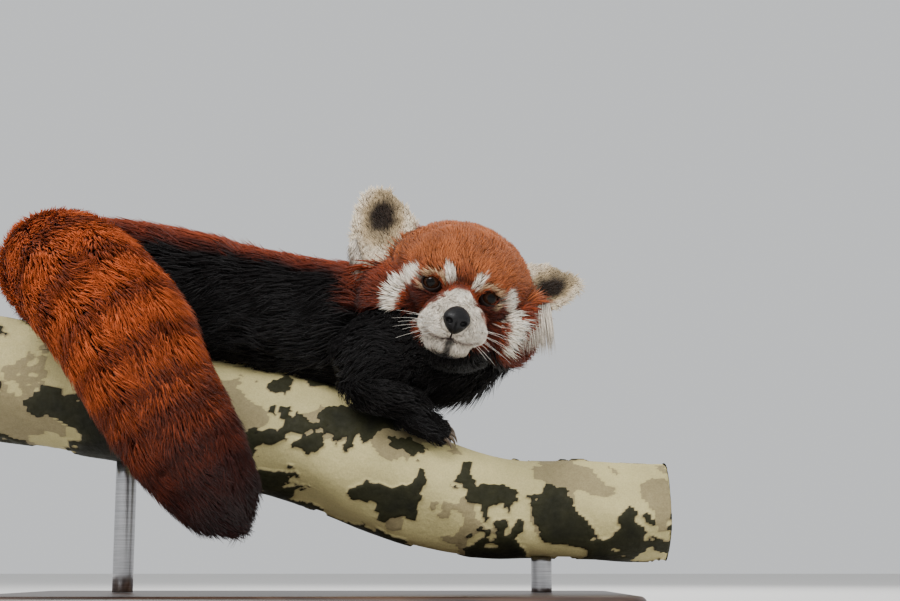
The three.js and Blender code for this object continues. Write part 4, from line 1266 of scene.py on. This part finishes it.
def make_nose():
    """Broad pad, narrower below, with comma nostrils and a groove down its middle."""

    def pad(rows):
        x, y, z = rows.T
        narrow = 1 - 0.34 * np.maximum(0, -z) - 0.1 * np.maximum(0, z) ** 3
        p = np.stack([x * NOSE_SIZE[0] * narrow, y * NOSE_SIZE[1], z * NOSE_SIZE[2]], axis=1)
        p[:, 1] -= 2.2 * smooth(0.2, 0.9, z)
        for side in (-1, 1):
            hole = np.hypot((p[:, 0] - side * 5.4 - side * 0.25 * (p[:, 2] + 1)) / 2.6, (p[:, 2] + 1.4) / 2.0)
            curl = np.hypot((p[:, 0] - side * 8.2) / 2.6, (p[:, 2] + 3.6) / 1.1)
            p[:, 1] -= (rows[:, 1] > 0) * (3.4 * smooth(1.15, 0.5, hole) + 1.5 * smooth(1.2, 0.4, curl))
        p[:, 1] -= (rows[:, 1] > 0) * smooth(0.9, 0.1, np.abs(p[:, 0])) * smooth(2, -3, p[:, 2])
        return head_place(p + NOSE_AT)

    bm = bmesh.new()
    ball(bm, 96, 64, lambda rows: pad(rows[:, [0, 2, 1]]))
    nose = keep("nose_pad", bm)
    show(nose, hide_finish("nose leather", tone(11, 10, 11), 0.4, 1500, 0.00035))
    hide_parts("nose")


def on_face(skin, a, c, proud=0.0):
    """The place on the skin's front at (a, c) of the head's frame, in millimetres of the world."""
    start = head_place((a, 90, c))[0]
    hit, where, _, _ = skin.ray_cast(Vector(start * MM), Vector(-AHEAD))
    if not hit:
        raise RuntimeError("no skin ahead of the face at %.1f, %.1f" % (a, c))
    return np.array(where) / MM + AHEAD * proud


def make_mouth(skin):
    """Dark lips along the mouth line and the short line down from the nose."""
    bm = bmesh.new()
    for side in (-1, 1):
        path = [on_face(skin, side * a, c, 0.3) for a, c in LIPS[:4]]
        curved_bar(bm, 10, 24, path, lambda k: 0.85 * (1 - 0.85 * k**2) + 0.1)
    path = [on_face(skin, 0, c, 0.4) for c in (-32, -34, -36, -37.3)]
    curved_bar(bm, 8, 10, path, lambda k: 0.7 + 0 * k)
    mouth = keep("lips", bm)
    show(mouth, hide_finish("lip hide", tone(38, 24, 20), 0.5, 1100, 0.0002))


WHISKER_BEND = ((0, 0), (0.35, 0.1), (0.7, 0.45), (1, 1))  # share of the length, share of the sag


def make_whiskers(skin, settings, seed):
    """Stiff white whiskers in four rows on each side of the muzzle."""
    draw = np.random.default_rng(seed)
    bm = bmesh.new()
    for side in (-1, 1):
        for i in range(settings.whiskers):
            row, place = i % 4, i // 4
            a = side * (11 + 3.6 * place + draw.uniform(-0.6, 0.6))
            c = -25.5 - 2.7 * row + draw.uniform(-0.5, 0.5)
            start = on_face(skin, a, c, -1)
            reach = settings.whisker_length / MM * (0.55 + 0.11 * place) * draw.uniform(0.8, 1.05)
            rise = 0.12 - 0.2 * row + draw.uniform(-0.1, 0.1)
            out = unit(ACROSS * side + AHEAD * (0.42 - 0.13 * place) + UPWARD * rise)
            sag = UPWARD * -0.12 * reach
            path = [start + out * reach * k + sag * drop for k, drop in WHISKER_BEND]
            curved_bar(bm, 5, 8, path, lambda k: 0.1 * (1 - 0.8 * k) + 0.03)
    whiskers = keep("whiskers", bm)
    show(whiskers, horn_finish("white whisker", tone(226, 220, 208), 0.4))


def make_claws():
    """Five curved claws on each paw."""
    bm = bmesh.new()
    for side in (-1, 1):
        for paw in PAWS:
            for along, over in toe_roots(paw[3]):
                path = paw_place(side, paw, [
                    (along + 7.5 + 9 * k, over, 1.2 - 6.0 * k * k) for k in (0, 0.33, 0.66, 1)
                ])
                curved_bar(bm, 10, 8, path, lambda k: 1.7 * (1 - k) ** 0.7 + 0.08)
    claws = keep("claws", bm)
    show(claws, horn_finish("claw horn", tone(92, 78, 64), 0.35))


# The perch and its stand

# The limb's middle line and radius: x, z, radius
PERCH = [
    (-300, 195, 48), (-255, 189, 48), (-175, 174, 48), (-75, 152, 49), (-15, 140, 49), (20, 128, 48),
    (60, 108, 45), (96, 96, 43), (145, 86, 39), (192, 83, 38), (255, 82, 38), (310, 84, 38),
]
PERCH_END = 272
BASE_CORNER = 0.022  # rounding of the base's upright corners, in metres


def plate_field(p, low):
    """How old the bark is at a place, 0 for new cream bark to 1 for the oldest plates; the dark plates are
    made more common towards the underside.
    """
    at = Vector(p) * 0.018
    bent = at + Vector((noise.noise(at * 2.3), noise.noise(at * 2.3 + Vector((7, 1, 3))), 0)) * 0.45
    broad = noise.noise(bent * 1.25 + Vector((3.3, 0, 5.1)))
    second = noise.noise(bent * 1.3 + Vector((9, 4, 2)))
    cell = noise.voronoi(bent * 1.9)[0]
    ragged = 0.12 * noise.noise(at * 7.5) + 0.06 * noise.noise(at * 17)
    # low makes the limb darker towards the bottom.
    old = 0.49 + 0.75 * broad + 0.3 * (cell[1] - cell[0] - 0.25) + 0.13 * low + ragged
    young = 0.2 + 0.25 * smooth(0.1, 0.14, second + ragged)
    return young + (0.58 + 0.4 * min(1.0, max(0.0, old - 0.55) * 2) - young) * smooth(0.53, 0.56, old)


def make_perch(settings):
    fields = {}

    def place(k, turn):
        line = [(x, 0, z) for x, z, _ in PERCH]
        t = 0.035 + 0.93 * k
        along = unit(spline(line, t + STEP) - spline(line, t - STEP))
        up = np.stack([-along[:, 2], 0 * t, along[:, 0]], axis=1)
        radius = spline([(r,) for _, _, r in PERCH], t)[:, 0]
        radius = radius + 1.2 * np.sin(3 * turn + 11 * t) + 0.9 * np.sin(5 * turn - 23 * t)
        way = up * column(np.sin(turn)) + np.array([0.0, 1.0, 0.0]) * column(np.cos(turn))
        rows = spline(line, t) + way * column(radius)
        plate = np.array([plate_field(row, -math.sin(angle)) for row, angle in zip(rows, turn)])
        fields["plate"] = plate
        lump = np.array([noise.noise(Vector(row) * 0.03) for row in rows])
        raised = smooth(0.54, 0.58, plate) + 0.35 * smooth(0.39, 0.43, plate)
        rows = rows + way * column(settings.flake / MM * raised + 1.1 * lump - 1.2)
        ends = np.abs(rows[:, 0]) > PERCH_END
        rows[ends] -= way[ends] * 1.2
        rows[ends, 0] = np.sign(rows[ends, 0]) * PERCH_END
        return rows

    bm = bmesh.new()
    layer = bm.verts.layers.float.new("plate")
    verts = bar(bm, 190, 250, place)
    for v, value in zip(verts, fields["plate"]):
        v[layer] = value
    sawn = [int(all(abs(v.co.x) > (PERCH_END - 0.05) * MM for v in face.verts)) for face in bm.faces]
    perch = keep("bark_perch", bm)
    show(perch, bark_finish())
    perch.data.materials.append(cut_wood_finish())
    perch.data.polygons.foreach_set("material_index", sawn)
    perch.data.polygons.foreach_set("use_smooth", [not flat for flat in sawn])
    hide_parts("perch_branch")


def make_stand(settings):
    low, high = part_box("stand_base")
    bm = bmesh.new()
    bmesh.ops.create_cube(bm, size=1)
    size, middle = Vector(high) - Vector(low), (Vector(high) + Vector(low)) / 2
    bmesh.ops.scale(bm, vec=size, verts=bm.verts)
    bmesh.ops.translate(bm, vec=middle, verts=bm.verts)
    upright = [e for e in bm.edges if abs(e.verts[0].co.z - e.verts[1].co.z) > 0.001]
    rounding = {"affect": "EDGES", "profile": 0.5, "material": -1}
    bmesh.ops.bevel(bm, geom=upright, offset=BASE_CORNER, segments=10, **rounding)
    top = max(v.co.z for v in bm.verts)
    rim = [e for e in bm.edges if all(abs(v.co.z - top) < 1e-5 for v in e.verts) and len(e.link_faces) == 2
           and any(abs(f.normal.z) < 0.5 for f in e.link_faces)]
    bmesh.ops.bevel(bm, geom=rim, offset=settings.base_edge, segments=5, **rounding)
    base = keep("display_base", bm, False)
    for face in base.data.polygons:
        face.use_smooth = abs(face.normal.z) < 0.999 and face.area < 0.002
    show(base, base_finish())
    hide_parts("stand_base")
    finish = rod_finish()
    for node in ("stand_rod_left", "stand_rod_right"):
        low, high = (np.array(corner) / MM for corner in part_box(node))
        middle = (low + high) / 2
        radius = (high[0] - low[0]) / 2
        bm = bmesh.new()

        def place(k, turn):
            x, y = middle[0] + radius * np.cos(turn), middle[1] + radius * np.sin(turn)
            return np.stack([x, y, low[2] + (high[2] - low[2]) * k], axis=1)

        bar(bm, 48, 6, place)
        rod = keep(node.replace("stand_", "display_"), bm)
        show(rod, finish)
        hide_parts(node)


# The stage

CAMERA_AT, CAMERA_RISE, CAMERA_LENS = (0.104, -1.23213, 0.03939), 9.7, 62.5


def make_stage():
    bm = bmesh.new()
    bmesh.ops.create_grid(bm, x_segments=8, y_segments=8, size=9)
    floor = keep("floor", bm)
    pale = Finish("pale floor", Roughness=0.85)
    fine = pale.grain(60, 0.3)
    tint = pale.ramp(fine.outputs["Mask"], [(0.0, (0.66, 0.65, 0.63)), (1.0, (0.72, 0.71, 0.69))])
    pale.link(tint, pale.shader.inputs["Base Color"])
    floor.data.materials.append(pale.material)
    lights = [
        ("key", (-0.9, -1.5, 1.9), 1.0, 58), ("fill", (1.7, -1.2, 0.9), 1.4, 12),
        ("back", (0.4, 1.5, 1.5), 1.2, 36), ("face", (0.5, -1.6, 0.5), 0.9, 8),
    ]
    for name, at, size, power in lights:
        light = bpy.data.lights.new(name, "AREA")
        light.energy = power
        light.size = size
        lamp = add_object(name, light)
        lamp.location = at
        lamp.visible_glossy = name == "key"
        lamp.rotation_euler = (Vector((0, -0.05, 0.2)) - Vector(at)).to_track_quat("-Z", "Y").to_euler()
    world = bpy.data.worlds.new("studio")
    world.use_nodes = True
    sky = world.node_tree.nodes["Background"].inputs
    sky["Color"].default_value = (0.86, 0.88, 0.9, 1)
    sky["Strength"].default_value = 0.85
    bpy.context.scene.world = world
    lens = bpy.data.cameras.new("camera")
    lens.lens = CAMERA_LENS
    lens.clip_end = 40
    camera = add_object("camera", lens)
    camera.location = CAMERA_AT
    camera.rotation_euler = (math.radians(90 + CAMERA_RISE), 0, 0)
    bpy.context.scene.camera = camera


# Operators and panel


def settings_of(context):
    return context.scene.red_panda


def skin_of():
    skin = bpy.data.objects.get("skin")
    if skin is None:
        raise RuntimeError("the skin comes first")
    return skin


class PANDA_OT_stage(bpy.types.Operator):
    """Lay the floor and set the lights and the camera"""

    bl_idname = "panda.stage"
    bl_label = "Stage"

    def execute(self, context):
        make_stage()
        return {"FINISHED"}


class PANDA_OT_stand(bpy.types.Operator):
    """Make the display base and its rods"""

    bl_idname = "panda.stand"
    bl_label = "Stand"

    def execute(self, context):
        make_stand(settings_of(context).perch)
        return {"FINISHED"}


class PANDA_OT_perch(bpy.types.Operator):
    """Make the cut length of plane-tree limb"""

    bl_idname = "panda.perch"
    bl_label = "Perch"

    def execute(self, context):
        make_perch(settings_of(context).perch)
        return {"FINISHED"}


class PANDA_OT_skin(bpy.types.Operator):
    """Make the one skin under the coat"""

    bl_idname = "panda.skin"
    bl_label = "Skin"

    def execute(self, context):
        make_skin(settings_of(context).coat)
        return {"FINISHED"}


class PANDA_OT_face(bpy.types.Operator):
    """Make the eyes, lids, nose, lips, whiskers and claws"""

    bl_idname = "panda.face"
    bl_label = "Face and claws"

    def execute(self, context):
        settings = settings_of(context)
        make_eyes(settings.head)
        make_nose()
        make_mouth(skin_of())
        make_whiskers(skin_of(), settings.head, settings.coat.seed)
        make_claws()
        return {"FINISHED"}


class PANDA_OT_coat(bpy.types.Operator):
    """Grow the coat over the skin"""

    bl_idname = "panda.coat"
    bl_label = "Coat"

    def execute(self, context):
        settings = settings_of(context).coat
        make_coat(skin_of(), settings)
        long_locks(Palette(settings), coat_finish("long white hair", 0.65, 0.06), settings.seed)
        return {"FINISHED"}


class PANDA_PT_panel(bpy.types.Panel):
    """Lists the pieces and their settings"""

    bl_idname = "PANDA_PT_panel"
    bl_label = "Red panda"
    bl_space_type = "VIEW_3D"
    bl_region_type = "UI"
    bl_category = "Red panda"

    def draw(self, context):
        settings = settings_of(context)
        for group in (settings.coat, settings.head, settings.perch):
            box = self.layout.box()
            for name in group.bl_rna.properties.keys():
                if name not in ("rna_type", "name"):
                    box.prop(group, name)
        for operator in OPERATORS:
            self.layout.operator(operator.bl_idname)


OPERATORS = (PANDA_OT_stage, PANDA_OT_stand, PANDA_OT_perch, PANDA_OT_skin, PANDA_OT_face, PANDA_OT_coat)
CLASSES = (CoatSettings, HeadSettings, PerchSettings, RedPandaSettings, *OPERATORS, PANDA_PT_panel)


def register():
    for cls in CLASSES:
        bpy.utils.register_class(cls)
    bpy.types.Scene.red_panda = PointerProperty(type=RedPandaSettings)


def unregister():
    del bpy.types.Scene.red_panda
    for cls in reversed(CLASSES):
        bpy.utils.unregister_class(cls)


def main():
    register()
    bpy.ops.panda.stage()
    bpy.ops.panda.stand()
    bpy.ops.panda.perch()
    bpy.ops.panda.skin()
    bpy.ops.panda.face()
    bpy.ops.panda.coat()


if __name__ == "__main__":
    main()
